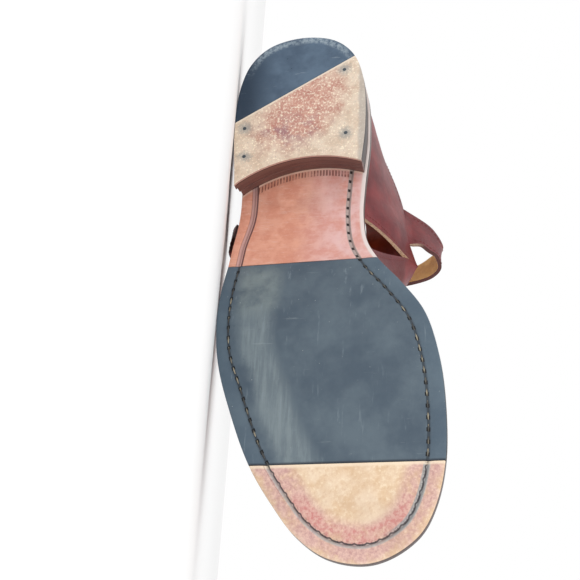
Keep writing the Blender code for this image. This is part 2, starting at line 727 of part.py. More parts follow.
def add_t_bar(built, last, band, places, middles):
    """The T-bar from its loop round the ankle strap to the toe, and the toe's front."""
    lines = t_bar_loop(band)
    start = places.index(THROAT)
    neck = t_bar_line(last.rim(1, THROAT), last.rim(-1, THROAT), T_BAR_CROWN)
    first = np.array(lines[-1])
    for s in (0.33, 0.66):
        dip = np.array((0.0, 0.0, -T_BAR_DIP * math.sin(math.pi * s)))
        lines.append(list(first + (np.array(neck) - first) * s + dip))
    for i in range(start, len(places)):
        rise = T_BAR_CROWN + (WEAVE_RISE if i in middles else 0.0)
        lines.append(t_bar_line(last.rim(1, places[i]), last.rim(-1, places[i]), rise))
    rows = turn_rows()[::-1]
    for k, turn in enumerate(rows[1:], start=1):
        lateral = last.wall(1, LAST_STATION, turn)
        medial = last.wall(-1, LAST_STATION, turn)
        line = t_bar_line(lateral, medial, T_BAR_CROWN * (1 - k / len(rows)))
        ahead = np.array((TOE_BOW, 0.0, 0.0))
        lines.append([p + ahead * 4 * (m / 4) * (1 - m / 4) for m, p in enumerate(line)])
    add_grid(built, lines, flip=True)


def rows_under_loop(band):
    """Five rows of the strap that lie side by side under the T-bar's loop."""
    reach = T_BAR_WIDTH / 2 / band.pace(T_BAR_ROW)
    return [T_BAR_ROW + reach * (1 - k / 2) for k in range(5)]


def t_bar_loop(band):
    """Lines of the T-bar where it folds over the strap, from its end on top to the throat."""
    front, back = band.edges(T_BAR_ROW)
    half = np.linalg.norm(back - front) / 2
    above = FIT
    below = -STRAP_THICKNESS - FIT
    centre = (above + below) / 2
    radius = (above - below) / 2
    route = [(side, above) for side in (-0.75, -0.1, 0.5, 1.0)]
    for k in range(1, 4):
        angle = math.pi / 2 - math.pi * k / 4
        route.append((1 + radius * math.cos(angle) / half, centre + radius * math.sin(angle)))
    route += [(side, below) for side in (1.0, 0.5, -0.1, -0.75, -1.25)]
    return [[band.point(row, side, offset) for row in rows_under_loop(band)] for side, offset in route]


def spaced_rows(start, end):
    """Row numbers along a strap, from start up to but not including end."""
    count = max(1, math.ceil((end - start) * STEPS_PER_ROW))
    return [start + (end - start) * k / count for k in range(count)]


def keeper_rows(band):
    """The three rows of the strap that the keeper lies round."""
    half = KEEPER_WIDTH / 2 / band.pace(KEEPER_ROW)
    return [KEEPER_ROW - half, KEEPER_ROW, KEEPER_ROW + half]


def band_grid(band, rows, offset, narrow=lambda row: 1.0):
    """Lines of three points across a strap."""
    return [[band.point(row, side * narrow(row), offset(row)) for side in (-1, 0, 1)] for row in rows]


def crease_line(last, sign):
    """Three points along the crease, in the order of a strap's sides."""
    shares = (CREASE_TO, (CREASE_FROM + CREASE_TO) / 2, CREASE_FROM)
    return [last.rim(sign, share) + np.array((0.0, 0.0, FIT)) for share in shares]


def buckle_rows(band):
    """Rows beside the buckle's upper bar and its lower bar."""
    beside = (BUCKLE_WIRE / 2 + 2 * FIT) / band.pace(BUCKLE_ROW)
    lower = bar_row(band)
    return [BUCKLE_ROW - beside, BUCKLE_ROW + beside, lower - beside, lower + beside]


def strap_lift(band, row):
    """How far the long strap stands off the band: over the buckle's bar, then on the stub."""
    over_bar = BUCKLE_WIRE + 3 * FIT + STRAP_THICKNESS - BAR_SINK
    resting = STRAP_THICKNESS + FIT
    places = buckle_rows(band)[1:] + [keeper_rows(band)[0]]
    return float(np.interp(row, places, [0.0, over_bar, over_bar, resting]))


def make_ankle_strap(last, band):
    """The long strap, from the inner crease over the instep and through the buckle."""
    under_loop = rows_under_loop(band)[::-1]
    by_buckle = buckle_rows(band)
    by_keeper = keeper_rows(band)
    rows = spaced_rows(0.5, under_loop[0]) + under_loop[:-1]
    rows += spaced_rows(under_loop[-1], by_buckle[0]) + by_buckle + by_keeper
    rows += spaced_rows(by_keeper[-1], TIP_ROW)[1:] + [TIP_ROW]

    def narrow(row):
        return 1 - TIP_TAPER * ease((row - by_keeper[-1]) / (TIP_ROW - by_keeper[-1]))

    def lift(row):
        return strap_lift(band, row)

    grid = [crease_line(last, -1)] + band_grid(band, rows, lift, narrow)
    built = bmesh.new()
    add_grid(built, grid)
    strap = add_object("ankle_strap", built, BURGUNDY_LEATHER)
    thicken(strap, STRAP_THICKNESS, -1.0)
    return [strap]


def make_buckle_strap(last, band):
    """The stub that holds the buckle, from the outer crease up to the buckle's bar."""
    start = bar_row(band) + (BUCKLE_WIRE / 2 + FIT) / band.pace(BUCKLE_ROW)
    by_keeper = keeper_rows(band)
    end = len(STRAP_ROWS) + 0.5
    rows = spaced_rows(start, by_keeper[0]) + by_keeper[:-1] + spaced_rows(by_keeper[-1], end) + [end]
    grid = band_grid(band, rows, lambda row: 0.0) + [crease_line(last, 1)]
    built = bmesh.new()
    add_grid(built, grid)
    stub = add_object("buckle_strap", built, BURGUNDY_LEATHER)
    thicken(stub, STRAP_THICKNESS, -1.0)
    return [stub]


def bar_row(band):
    """Row of the buckle's lower bar."""
    return BUCKLE_ROW + (BUCKLE_LENGTH - BUCKLE_WIRE) / band.pace(BUCKLE_ROW)


def tube(path, radius, sides, closed):
    """A round bar along a path of points, each with its own two cross directions."""
    built = bmesh.new()
    rings = []
    for point, right, up in path:
        ring = []
        for k in range(sides):
            angle = 2 * math.pi * k / sides
            ring.append(built.verts.new(point + (right * math.cos(angle) + up * math.sin(angle)) * radius))
        rings.append(ring)
    pairs = list(zip(rings, rings[1:]))
    if closed:
        pairs.append((rings[-1], rings[0]))
    for ring, following in pairs:
        for k in range(sides):
            built.faces.new((ring[k], ring[(k + 1) % sides], following[(k + 1) % sides], following[k]))
    if not closed:
        built.faces.new(rings[0][::-1])
        built.faces.new(rings[-1])
    bmesh.ops.recalc_face_normals(built, faces=built.faces)
    return built


def make_buckle(band):
    """The buckle's frame, over the long strap above and under it below, and its prong."""
    radius = BUCKLE_WIRE / 2
    front, back = band.edges(BUCKLE_ROW)
    half_width = np.linalg.norm(back - front) / 2 + BUCKLE_SIDE_PLAY + radius
    top_middle, along, across, outward = band.frame(BUCKLE_ROW)
    upper_bar = top_middle + outward * (FIT + radius)
    low_row = bar_row(band)
    low_middle, _, _, low_outward = band.frame(low_row)
    lower_bar = low_middle + low_outward * (radius - BAR_SINK)
    centre = (upper_bar + lower_bar) / 2
    down = lower_bar - upper_bar
    half_length = np.linalg.norm(down) / 2
    down /= np.linalg.norm(down)
    across -= down * np.dot(across, down)
    across /= np.linalg.norm(across)
    normal = np.cross(down, across)
    side_reach = half_width - BUCKLE_CORNER
    end_reach = half_length - BUCKLE_CORNER
    path = []
    for quarter in range(4):
        sign_across = (1, -1, -1, 1)[quarter]
        sign_down = (1, 1, -1, -1)[quarter]
        hub = centre + across * sign_across * side_reach + down * sign_down * end_reach
        for k in range(5):
            angle = math.pi / 2 * (quarter + k / 4)
            ray = across * math.cos(angle) + down * math.sin(angle)
            path.append((hub + ray * BUCKLE_CORNER, ray, normal))
    frame = add_object("buckle_frame", tube(path, radius, 8, True), BRASS)
    thin = PRONG_DIAMETER / 2
    prong_path = []
    prong_start = BUCKLE_ROW + (low_row - BUCKLE_ROW) * 0.45
    for k in range(6):
        s = k / 5
        row = prong_start + (BUCKLE_ROW - 0.12 - prong_start) * s
        over = strap_lift(band, row) + 2 * FIT + thin + (BUCKLE_WIRE + FIT) * ease((s - 0.25) / 0.4)
        point = band.point(row, 0.0, over)
        _, _, side, up = band.frame(row)
        prong_path.append((point, side, up))
    prong = add_object("buckle_prong", tube(prong_path, thin, 8, False), BRASS)
    return [frame, prong]


def make_keeper(band):
    """The leather loop that holds the strap's end down on the stub."""
    inner_low, inner_high = -STRAP_THICKNESS - FIT, STRAP_THICKNESS + 2 * FIT
    outer_low, outer_high = inner_low - KEEPER_THICKNESS, inner_high + KEEPER_THICKNESS
    front, back = band.edges(KEEPER_ROW)
    half = np.linalg.norm(back - front) / 2
    inner_side = 1 + 2 * FIT / half
    outer_side = inner_side + KEEPER_THICKNESS / half
    built = bmesh.new()
    loops = []
    for row in keeper_rows(band):
        inner = [(-1, 0), (0, 0), (1, 0), (1, 1), (0, 1), (-1, 1)]
        ring_in = [band.point(row, s * inner_side, (inner_low, inner_high)[u]) for s, u in inner]
        ring_out = [band.point(row, s * outer_side, (outer_low, outer_high)[u]) for s, u in inner]
        loops.append(([built.verts.new(p) for p in ring_in], [built.verts.new(p) for p in ring_out]))
    for (in_a, out_a), (in_b, out_b) in zip(loops, loops[1:]):
        for k in range(6):
            m = (k + 1) % 6
            built.faces.new((out_a[k], out_a[m], out_b[m], out_b[k]))
            built.faces.new((in_a[m], in_a[k], in_b[k], in_b[m]))
    for inner, outer in (loops[0], loops[-1]):
        for k in range(6):
            m = (k + 1) % 6
            built.faces.new((inner[k], inner[m], outer[m], outer[k]))
    bmesh.ops.recalc_face_normals(built, faces=built.faces)
    return [add_object("strap_keeper", built, BURGUNDY_LEATHER)]


def evaluated_points(things):
    """All corners of the finished pieces."""
    graph = bpy.context.evaluated_depsgraph_get()
    points = []
    for thing in things:
        mesh = thing.evaluated_get(graph).to_mesh()
        points += [tuple(vertex.co) for vertex in mesh.vertices]
    return points


def resting_direction(points, balance):
    """The outward normal of the plane that carries the shoe on its outer side."""
    hull = bmesh.new()
    for point in points:
        hull.verts.new(point)
    bmesh.ops.convex_hull(hull, input=hull.verts)
    down = Vector((0.0, 1.0, 0.0))
    for _ in range(8):
        best, best_height = None, None
        for face in hull.faces:
            normal = face.normal
            if normal.dot(face.verts[0].co - balance) < 0:
                normal = -normal
            slope = normal.dot(down)
            if slope < 0.2:
                continue
            height = normal.dot(face.verts[0].co - balance) / slope
            if best_height is None or height < best_height:
                best, best_height = normal.copy(), height
        down = best
    hull.free()
    return down


def balance_point(things):
    """Centre of volume of the pieces."""
    graph = bpy.context.evaluated_depsgraph_get()
    total, moment = 0.0, Vector()
    for thing in things:
        mesh = thing.evaluated_get(graph).to_mesh()
        mesh.calc_loop_triangles()
        for triangle in mesh.loop_triangles:
            a, b, c = (mesh.vertices[i].co for i in triangle.vertices)
            volume = a.dot(b.cross(c)) / 6
            total += volume
            moment += (a + b + c) / 4 * volume
    return moment / total


def lay_down(things, cutters):
    """Parent every piece to an empty that lays the shoe on its outer side."""
    bpy.context.view_layer.update()
    points = evaluated_points(things)
    down = resting_direction(points, balance_point(things))
    up = -down
    ahead = Vector((1.0, 0.0, 0.0))
    ahead = (ahead - up * ahead.dot(up)).normalized()
    side = up.cross(ahead)
    turn = Matrix((ahead, side, up))
    turned = np.array(points) @ np.array(turn).T
    low, high = turned.min(axis=0), turned.max(axis=0)
    shift = Vector((-(low[0] + high[0]) / 2, -(low[1] + high[1]) / 2, -low[2]))
    holder = bpy.data.objects.new("shoe", None)
    bpy.context.scene.collection.objects.link(holder)
    holder.rotation_euler = turn.to_euler()
    holder.location = shift
    for thing in things + cutters:
        thing.parent = holder
    bpy.context.view_layer.update()


def main():
    remove_all_objects()
    outline = sole_outline()
    last = Last(outline)
    band = Band(last)
    things, cutters = make_outsole(outline)
    things += make_forefoot_rubber(outline)
    things += make_heel(outline)
    things += make_insole(outline)
    things += make_upper(last, band)
    things += make_ankle_strap(last, band)
    things += make_buckle_strap(last, band)
    things += make_buckle(band)
    things += make_keeper(band)
    lay_down(things, cutters)


main()
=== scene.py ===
# %% [markdown]
# # A fisherman sandal, lying on its outer side
# The object is one left shoe: a welted sole with a let-in rubber half sole, a stacked heel, and
# an upper with side wings, a woven cage, a T-bar and an ankle strap. The solids come from the
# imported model. Here each one gets the surface that a maker would recognise. The solids are laid
# on their outer side, so the first step finds the shoe's own frame again.

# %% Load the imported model
import json
import math
from collections import namedtuple

import bmesh
import bpy
import numpy as np
from mathutils import Matrix, Vector


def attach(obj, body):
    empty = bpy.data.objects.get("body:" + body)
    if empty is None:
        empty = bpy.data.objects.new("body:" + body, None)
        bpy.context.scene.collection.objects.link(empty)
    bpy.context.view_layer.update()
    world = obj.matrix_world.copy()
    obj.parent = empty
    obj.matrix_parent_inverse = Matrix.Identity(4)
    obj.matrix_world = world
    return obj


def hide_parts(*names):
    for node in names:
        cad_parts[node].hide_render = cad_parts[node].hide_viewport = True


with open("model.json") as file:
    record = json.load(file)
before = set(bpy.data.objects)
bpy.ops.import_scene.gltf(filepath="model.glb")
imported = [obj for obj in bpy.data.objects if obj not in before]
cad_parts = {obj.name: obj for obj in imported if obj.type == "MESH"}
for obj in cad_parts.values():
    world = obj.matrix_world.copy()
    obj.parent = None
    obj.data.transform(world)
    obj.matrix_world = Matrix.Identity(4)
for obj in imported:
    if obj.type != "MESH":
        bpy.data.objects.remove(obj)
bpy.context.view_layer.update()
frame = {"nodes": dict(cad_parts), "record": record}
MM = 0.001
print("packed nodes:", sorted(frame["nodes"]))

# %% [markdown]
# The two treads are recorded as mounts, so their place and direction give the whole lay of the
# shoe: x runs from heel to toe, y to the outer side, z up from the treads. Every piece is shaped
# in that upright frame, which is easy to think in, and laid over at the end.

# %% Find the shoe's own frame
mounts = {mount["name"]: mount for mount in frame["record"]["mounts"]}
tread = mounts["heel_tread"]
shoe_up = -Vector(tread["axis"]).normalized()
shoe_ahead = Vector((shoe_up.z, 0.0, -shoe_up.x)).normalized()
shoe_outer = shoe_up.cross(shoe_ahead)
TREAD_IN_SHOE = Vector((66 * MM, 0.0, 0.0))
turn = Matrix((shoe_ahead, shoe_outer, shoe_up)).transposed()
LAY = Matrix.Translation(Vector(tread["pos_m"]) - turn @ TREAD_IN_SHOE) @ turn.to_4x4()
UNLAY = LAY.inverted()
print("shoe up in the row frame:", [round(c, 3) for c in shoe_up])

# %% [markdown]
# The photograph looks at the soles from below and a little from the toe. The camera keeps that
# angle to the shoe. The shoe lies on its side, so the picture is rolled: the floor is at the
# left of the frame. The camera would stand just below the floor, so it is lifted above it.

# %% Camera
PHOTO_EYE = Vector((389.5, -49.8, -464.2)) * MM
PHOTO_DOWN = Vector((0.8905, 0.0601, 0.4509))
EYE_HEIGHT = 11 * MM
AIM = Vector((146.0, 4.0, 14.0)) * MM
eye = LAY @ PHOTO_EYE
eye.z = EYE_HEIGHT
camera_data = bpy.data.cameras.new("camera")
camera_data.lens = 67.5
camera_data.clip_start = 0.01
camera = bpy.data.objects.new("camera", camera_data)
bpy.context.scene.collection.objects.link(camera)
view = (LAY @ AIM - eye).normalized()
picture_up = -(turn @ PHOTO_DOWN)
right = view.cross(picture_up).normalized()
camera_turn = Matrix((right, right.cross(view), -view)).transposed()
camera.matrix_world = Matrix.Translation(eye) @ camera_turn.to_4x4()
bpy.context.scene.camera = camera
print("camera at", [round(c, 3) for c in eye])

# %% [markdown]
# The shoe was photographed on plain white, so the floor is a large pale sheet and the world is white.
# A bare white world would flatten the leather. One large soft lamp gives the creases a light and a dark
# side, and a weaker one opposite keeps the shadows open.

# %% Floor and light
def clear_selection():
    """Select nothing, so that the next operator acts on its own piece alone."""
    bpy.ops.object.select_all(action="DESELECT")


clear_selection()
bpy.ops.mesh.primitive_plane_add(size=80)
floor = bpy.context.object
floor.name = "floor"
floor_material = bpy.data.materials.new("floor_paper")
floor_material.use_nodes = True
floor_shader = floor_material.node_tree.nodes["Principled BSDF"]
floor_shader.inputs["Base Color"].default_value = (0.9, 0.9, 0.9, 1)
floor_shader.inputs["Roughness"].default_value = 0.9
floor.data.materials.append(floor_material)
world = bpy.data.worlds.new("studio")
world.use_nodes = True
world.node_tree.nodes["Background"].inputs["Color"].default_value = (1, 1, 1, 1)
world.node_tree.nodes["Background"].inputs["Strength"].default_value = 1.0
bpy.context.scene.world = world
bpy.context.scene.view_settings.view_transform = "Standard"


def soft_light(name, place, aim, size, power):
    """A large square lamp that looks at a point."""
    data = bpy.data.lights.new(name, "AREA")
    data.size = size
    data.energy = power
    lamp = bpy.data.objects.new(name, data)
    bpy.context.scene.collection.objects.link(lamp)
    facing = (place - aim).to_track_quat("Z", "Y").to_matrix()
    lamp.matrix_world = Matrix.Translation(place) @ facing.to_4x4()
    return lamp


middle = LAY @ AIM
soft_light("key", middle + Vector((0.6, -0.8, 0.7)), middle, 0.5, 3)
soft_light("fill", middle + Vector((-0.9, -0.5, 0.4)), middle, 1.0, 0.5)

# %% [markdown]
# Every length of the shoe is named once, in millimetres, and the tables hold the shapes that no
# formula gives: the sole's outline, the wall's profile and the path of the strap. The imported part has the
# same numbers, so both models agree.

# %% Sizes and tables of the shoe
SOLE_LENGTH = 282 * MM
BALL_WIDTH = 108.3 * MM
HEEL_LENGTH = 86 * MM
HEEL_WIDTH = 69.4 * MM
HEEL_HEIGHT = 16 * MM
BREAST_RADIUS = 65 * MM
BREAST_HOLLOW = 11.1 * MM
BREAST_LEAN = 2.4 * MM
BREAST_CORNER = 4 * MM
TOE_SPRING = 7.5 * MM
OUTSOLE_THICKNESS = 5.5 * MM
RUBBER_THICKNESS = 3 * MM
TOP_LIFT_THICKNESS = 5 * MM
LIFT_COUNT = 2
LIFT_STEP = 0.5 * MM
INSOLE_THICKNESS = 2.4 * MM
FEATHER_AT_HEEL = 1.8 * MM
FEATHER_AT_TOE = 4.2 * MM
UPPER_WALL = 2 * MM
INSTEP_HEIGHT = 74 * MM
T_BAR_WIDTH = 18 * MM
T_BAR_CROWN = 1.1 * MM
T_BAR_DIP = 2.2 * MM
TOE_BOW = 0.9 * MM
CROSS_STRAP_WIDTH = 13 * MM
CAGE_GAP = 10 * MM
CROSS_STRAPS = 3
REAR_BAND = 8 * MM
WEAVE_RISE = 1.3 * MM
STRAP_RISE = 97 * MM
STRAP_THICKNESS = 2 * MM
BUCKLE_WIRE = 2.6 * MM
BUCKLE_LENGTH = 17 * MM
BUCKLE_CORNER = 3.5 * MM
BUCKLE_SIDE_PLAY = 0.8 * MM
BAR_SINK = 1.2 * MM
TIP_TAPER = 0.5
PRONG_DIAMETER = 1.8 * MM
KEEPER_WIDTH = 7 * MM
KEEPER_THICKNESS = 1.4 * MM
FIT = 0.3 * MM
RUBBER_FROM = 0.476
RUBBER_TO = 0.850
FLAT_FROM = 0.638
FLAT_TO = 0.798
SPRING_POWER = 1.6
TOP_LIFT_LINE_ALONG = 0.40
TOP_LIFT_LINE_ACROSS = 0.05
TOP_LIFT_SLANT = math.radians(-30)
BREAST_ACROSS = -0.1

HEEL_ROWS = ((0.045, 0.248), (0.163, 0.398), (0.360, 0.480), (0.700, 0.499))
SOLE_ROWS = (
    (0.010, 0.303, -0.299),
    (0.097, 0.303, -0.295),
    (0.184, 0.316, -0.317),
    (0.245, 0.322, -0.370),
    (0.327, 0.335, -0.480),
    (0.418, 0.336, -0.583),
    (0.531, 0.312, -0.640),
    (0.658, 0.241, -0.662),
    (0.786, 0.146, -0.655),
    (0.878, 0.042, -0.613),
    (0.939, -0.046, -0.549),
    (0.985, -0.166, -0.429),
)
TOE_TIP = -0.313

Section = namedtuple("Section", "foot lat_along lat med_along med rise round belly_lat belly_med")
SECTIONS = (
    Section(0.000, 0.025, 0.000, 0.025, 0.000, 0.845, 0.0, 0.022, 0.022),
    Section(0.013, 0.034, 0.111, 0.034, -0.111, 0.835, 0.0, 0.022, 0.022),
    Section(0.042, 0.057, 0.199, 0.057, -0.203, 0.797, 0.0, 0.018, 0.018),
    Section(0.104, 0.103, 0.282, 0.106, -0.286, 0.716, 0.0, 0.012, 0.012),
    Section(0.180, 0.160, 0.351, 0.177, -0.365, 0.649, 0.0, 0.004, 0.000),
    Section(0.245, 0.206, 0.392, 0.241, -0.416, 0.696, 0.0, 0.000, 0.008),
    Section(0.340, 0.298, 0.420, 0.337, -0.452, 0.600, 0.0, 0.005, 0.018),
    Section(0.366, 0.333, 0.429, 0.358, -0.471, 0.709, 0.1, 0.008, 0.025),
    Section(0.434, 0.369, 0.416, 0.376, -0.471, 0.797, 0.3, 0.012, 0.040),
    Section(0.506, 0.426, 0.240, 0.429, -0.323, 0.958, 0.8, 0.018, 0.070),
    Section(0.543, 0.465, 0.055, 0.465, -0.111, 1.014, 1.0, 0.020, 0.065),
    Section(0.680, 0.603, -0.028, 0.603, -0.194, 0.790, 1.0, 0.020, 0.030),
    Section(0.825, 0.752, -0.132, 0.752, -0.298, 0.570, 1.0, 0.010, 0.010),
    Section(0.940, 0.872, -0.208, 0.872, -0.374, 0.443, 1.0, 0.006, 0.006),
    Section(0.9975, 0.929, -0.236, 0.929, -0.372, 0.330, 1.0, 0.000, 0.000),
)
SECTION_FULLNESS = 0.86
RIM_ANGLE = math.radians(78)
T_BAR_TAPER = 0.18
TAPER_SHARE = 0.1
CREASE_FROM = 0.245
CREASE_TO = 0.340
ARCH_FROM = 0.366
ARCH_TIP = 0.396
ARCH_TO = 0.434
ARCH_CLOSING = 2.35
THROAT = 0.543
LAST_STATION = 0.9975
HEEL_STATIONS = (0.0, 0.004, 0.014, 0.030, 0.052, 0.082, 0.118, 0.160, 0.204)
CAP_STATIONS = (0.14, 0.29, 0.45, 0.61, 0.75, 0.87, 0.95, 1.0)
FOOT_BAND = 0.10
RUNNER_FROM = 0.40
RUNNER_TO = 0.54
LOWER_ROWS = 3
UPPER_ROWS = 4
ARCH_TIP_ROW = 7
STRAP_ROWS = (
    (0.333, -0.508, 0.484, 0.257, -0.526, 0.644),
    (0.337, -0.545, 0.536, 0.273, -0.573, 0.696),
    (0.342, -0.584, 0.588, 0.294, -0.600, 0.737),
    (0.352, -0.593, 0.673, 0.299, -0.571, 0.794),
    (0.362, -0.559, 0.716, 0.304, -0.531, 0.830),
    (0.367, -0.494, 0.753, 0.311, -0.466, 0.876),
    (0.367, -0.360, 0.804, 0.317, -0.342, 0.943),
    (0.363, -0.185, 0.845, 0.321, -0.203, 0.995),
    (0.369, -0.028, 0.871, 0.319, -0.028, 1.005),
    (0.363, 0.129, 0.851, 0.314, 0.139, 0.995),
    (0.349, 0.277, 0.794, 0.300, 0.305, 0.938),
    (0.333, 0.406, 0.706, 0.282, 0.434, 0.851),
    (0.316, 0.485, 0.603, 0.255, 0.513, 0.747),
    (0.305, 0.485, 0.526, 0.223, 0.503, 0.665),
)
T_BAR_ROW = 9
BUCKLE_ROW = 11.5
KEEPER_ROW = 13.3
TIP_ROW = 14.3


# %% [markdown]
# A shoemaker starts from the outline of the sole. It could be traced as a Bezier curve, but a
# spline through measured points can be moved inwards and read at any place, which the heel, the insole
# and the upper all need.

# %% Curves and the sole's outline
def through(knots, values, place):
    """Read a smooth curve through a table's values at one place."""
    knots = np.asarray(knots, dtype=float)
    values = np.asarray(values, dtype=float)
    slopes = np.gradient(values, knots, axis=0)
    i = int(np.clip(np.searchsorted(knots, place) - 1, 0, len(knots) - 2))
    span = knots[i + 1] - knots[i]
    s = (place - knots[i]) / span
    start = (1 + 2 * s) * (1 - s) ** 2 * values[i] + s * (1 - s) ** 2 * span * slopes[i]
    end = s * s * (3 - 2 * s) * values[i + 1] + s * s * (s - 1) * span * slopes[i + 1]
    return start + end


class Smooth:
    """A smooth curve through a table, worked out once at close places and then read quickly."""

    def __init__(self, knots, values, count=1500):
        self.first, self.last, self.count = knots[0], knots[-1], count
        self.values = np.array([through(knots, values, p) for p in np.linspace(knots[0], knots[-1], count)])

    def __call__(self, place):
        spot = (place - self.first) / (self.last - self.first) * (self.count - 1)
        i = int(min(max(spot, 0), self.count - 2))
        return self.values[i] + (self.values[i + 1] - self.values[i]) * (spot - i)


def smooth_loop(points, steps):
    """A closed centripetal spline through the points."""
    points = [np.array(p, dtype=float) for p in points]
    count = len(points)
    loop = []
    for i in range(count):
        a, b, c, d = (points[(i + k) % count] for k in (-1, 0, 1, 2))
        ta = 0.0
        tb = ta + math.sqrt(np.linalg.norm(b - a))
        tc = tb + math.sqrt(np.linalg.norm(c - b))
        td = tc + math.sqrt(np.linalg.norm(d - c))
        for step in range(steps):
            t = tb + (tc - tb) * step / steps
            ab = a * (tb - t) / (tb - ta) + b * (t - ta) / (tb - ta)
            bc = b * (tc - t) / (tc - tb) + c * (t - tb) / (tc - tb)
            cd = c * (td - t) / (td - tc) + d * (t - tc) / (td - tc)
            abc = ab * (tc - t) / (tc - ta) + bc * (t - ta) / (tc - ta)
            bcd = bc * (td - t) / (td - tb) + cd * (t - tb) / (td - tb)
            loop.append(abc * (tc - t) / (tc - tb) + bcd * (t - tb) / (tc - tb))
    return np.array(loop)


def even_loop(points, pitch):
    """The same closed line with its points at an even pitch."""
    points = np.asarray(points, dtype=float)
    closed = np.vstack((points, points[:1]))
    lengths = np.concatenate(([0.0], np.cumsum(np.linalg.norm(np.diff(closed, axis=0), axis=1))))
    count = int(round(lengths[-1] / pitch))
    places = np.arange(count) * lengths[-1] / count
    return np.column_stack([np.interp(places, lengths, closed[:, k]) for k in range(closed.shape[1])])


class Outline:
    """A closed outline seen from above, read as an outer and an inner side."""

    def __init__(self, loop):
        self.loop = loop
        ahead = np.roll(loop, -1, axis=0) - np.roll(loop, 1, axis=0)
        ahead /= np.linalg.norm(ahead, axis=1)[:, None]
        self.outward = np.column_stack((-ahead[:, 1], ahead[:, 0]))
        self.back_index = int(np.argmin(loop[:, 0]))
        self.tip_index = int(np.argmax(loop[:, 0]))
        self.back = loop[self.back_index, 0]
        self.tip = loop[self.tip_index, 0]
        self.sides = {}
        for sign in (1, -1):
            chosen = self.side(sign)
            xs = np.maximum.accumulate(loop[chosen, 0])
            self.sides[sign] = (xs, np.column_stack((loop[chosen], self.outward[chosen])))

    def inset(self, margin):
        """The same outline, moved inwards by margin(x)."""
        amounts = np.array([margin(x) for x in self.loop[:, 0]])
        return Outline(self.loop - self.outward * amounts[:, None])

    def side(self, sign):
        """Indices of one side, from the back of the heel to the tip of the toe."""
        count = len(self.loop)
        steps = (self.tip_index - self.back_index) % count
        if sign > 0:
            return [(self.back_index + k) % count for k in range(steps + 1)]
        return [(self.back_index - k) % count for k in range(count - steps + 1)]

    def at(self, sign, x):
        """The point and the outward direction of one side at x."""
        xs, columns = self.sides[sign]
        y, nx, ny = (np.interp(x, xs, columns[:, k]) for k in (1, 2, 3))
        return np.array((x, y)), np.array((nx, ny)) / math.hypot(nx, ny)


def sole_outline():
    """The outsole's outline, through the rows of both tables."""
    front = SOLE_LENGTH - HEEL_LENGTH
    lateral = [(along * HEEL_LENGTH, half * HEEL_WIDTH) for along, half in HEEL_ROWS]
    medial = [(x, -y) for x, y in lateral]
    for along, outer, inner in SOLE_ROWS:
        x = HEEL_LENGTH + along * front
        lateral.append((x, outer * BALL_WIDTH))
        medial.append((x, inner * BALL_WIDTH))
    tip = (SOLE_LENGTH, TOE_TIP * BALL_WIDTH)
    return Outline(smooth_loop([(0.0, 0.0)] + lateral + [tip] + medial[::-1], 24))


def ease(s):
    """Rise smoothly from 0 to 1."""
    s = min(max(s, 0.0), 1.0)
    return s * s * (3 - 2 * s)


def sole_bottom(x):
    """Height of the outsole's underside: heel seat, arch, flat forefoot and toe spring."""
    flat_from = FLAT_FROM * SOLE_LENGTH
    flat_to = FLAT_TO * SOLE_LENGTH
    arch = HEEL_HEIGHT * (1 - ease((x - HEEL_LENGTH) / (flat_from - HEEL_LENGTH)))
    past = max(0.0, x - flat_to) / (SOLE_LENGTH - flat_to)
    return arch + TOE_SPRING * past ** SPRING_POWER


def sole_top(x):
    """Height of the outsole's upper face."""
    return sole_bottom(x) + OUTSOLE_THICKNESS


def feather_margin(x):
    """How far the upper stands in from the sole's edge."""
    share = ease((x - HEEL_LENGTH) / (FLAT_TO * SOLE_LENGTH - HEEL_LENGTH))
    return FEATHER_AT_HEEL + (FEATHER_AT_TOE - FEATHER_AT_HEEL) * share


outline = sole_outline()
print("sole length", round((outline.tip - outline.back) / MM, 1), "mm")


# %% [markdown]
# Worn leather and rubber are many thin layers of tone. Node trees of that kind grow hard to read,
# so a small class writes the nodes: a reading can be added, multiplied and faded like a number, and a
# finish collects the readings of one material.

# %% Shader sums
class Reading:
    """A number that varies over a surface. Sums on it add Math nodes."""

    def __init__(self, finish, socket):
        self.finish = finish
        self.socket = socket

    def sum(self, operation, *values, clamp=False):
        """One Math node."""
        settings = {"operation": operation, "use_clamp": clamp}
        return Reading(self.finish, self.finish.node("ShaderNodeMath", settings, values).outputs[0])

    def __add__(self, other):
        return self.sum("ADD", self, other)

    def __sub__(self, other):
        return self.sum("SUBTRACT", self, other)

    def __mul__(self, other):
        return self.sum("MULTIPLY", self, other)

    def __truediv__(self, other):
        return self.sum("DIVIDE", self, other)

    def __rsub__(self, other):
        return self.sum("SUBTRACT", other, self)

    __radd__ = __add__
    __rmul__ = __mul__

    def __abs__(self):
        return self.sum("ABSOLUTE", self)

    def __pow__(self, other):
        return self.sum("POWER", self, other)

    def rise(self, start, end):
        """0 below start and 1 above end, smoothly, and the other way round if end is lower."""
        low, high = min(start, end), max(start, end)
        settings = {"interpolation_type": "SMOOTHSTEP"}
        node = self.finish.node("ShaderNodeMapRange", settings, (self, low, high, 0.0, 1.0))
        made = Reading(self.finish, node.outputs[0])
        return made if start < end else 1 - made

    def band(self, middle, half, soft):
        """1 within half of the middle, fading out over soft."""
        return abs(self - middle).rise(half + soft, half)

    def wave(self, pitch, phase=0.0):
        """A saw from 0 to 1 that repeats at a pitch."""
        return self.sum("FRACT", self / pitch + phase)

    def least(self, other):
        return self.sum("MINIMUM", self, other)

    def most(self, other):
        return self.sum("MAXIMUM", self, other)


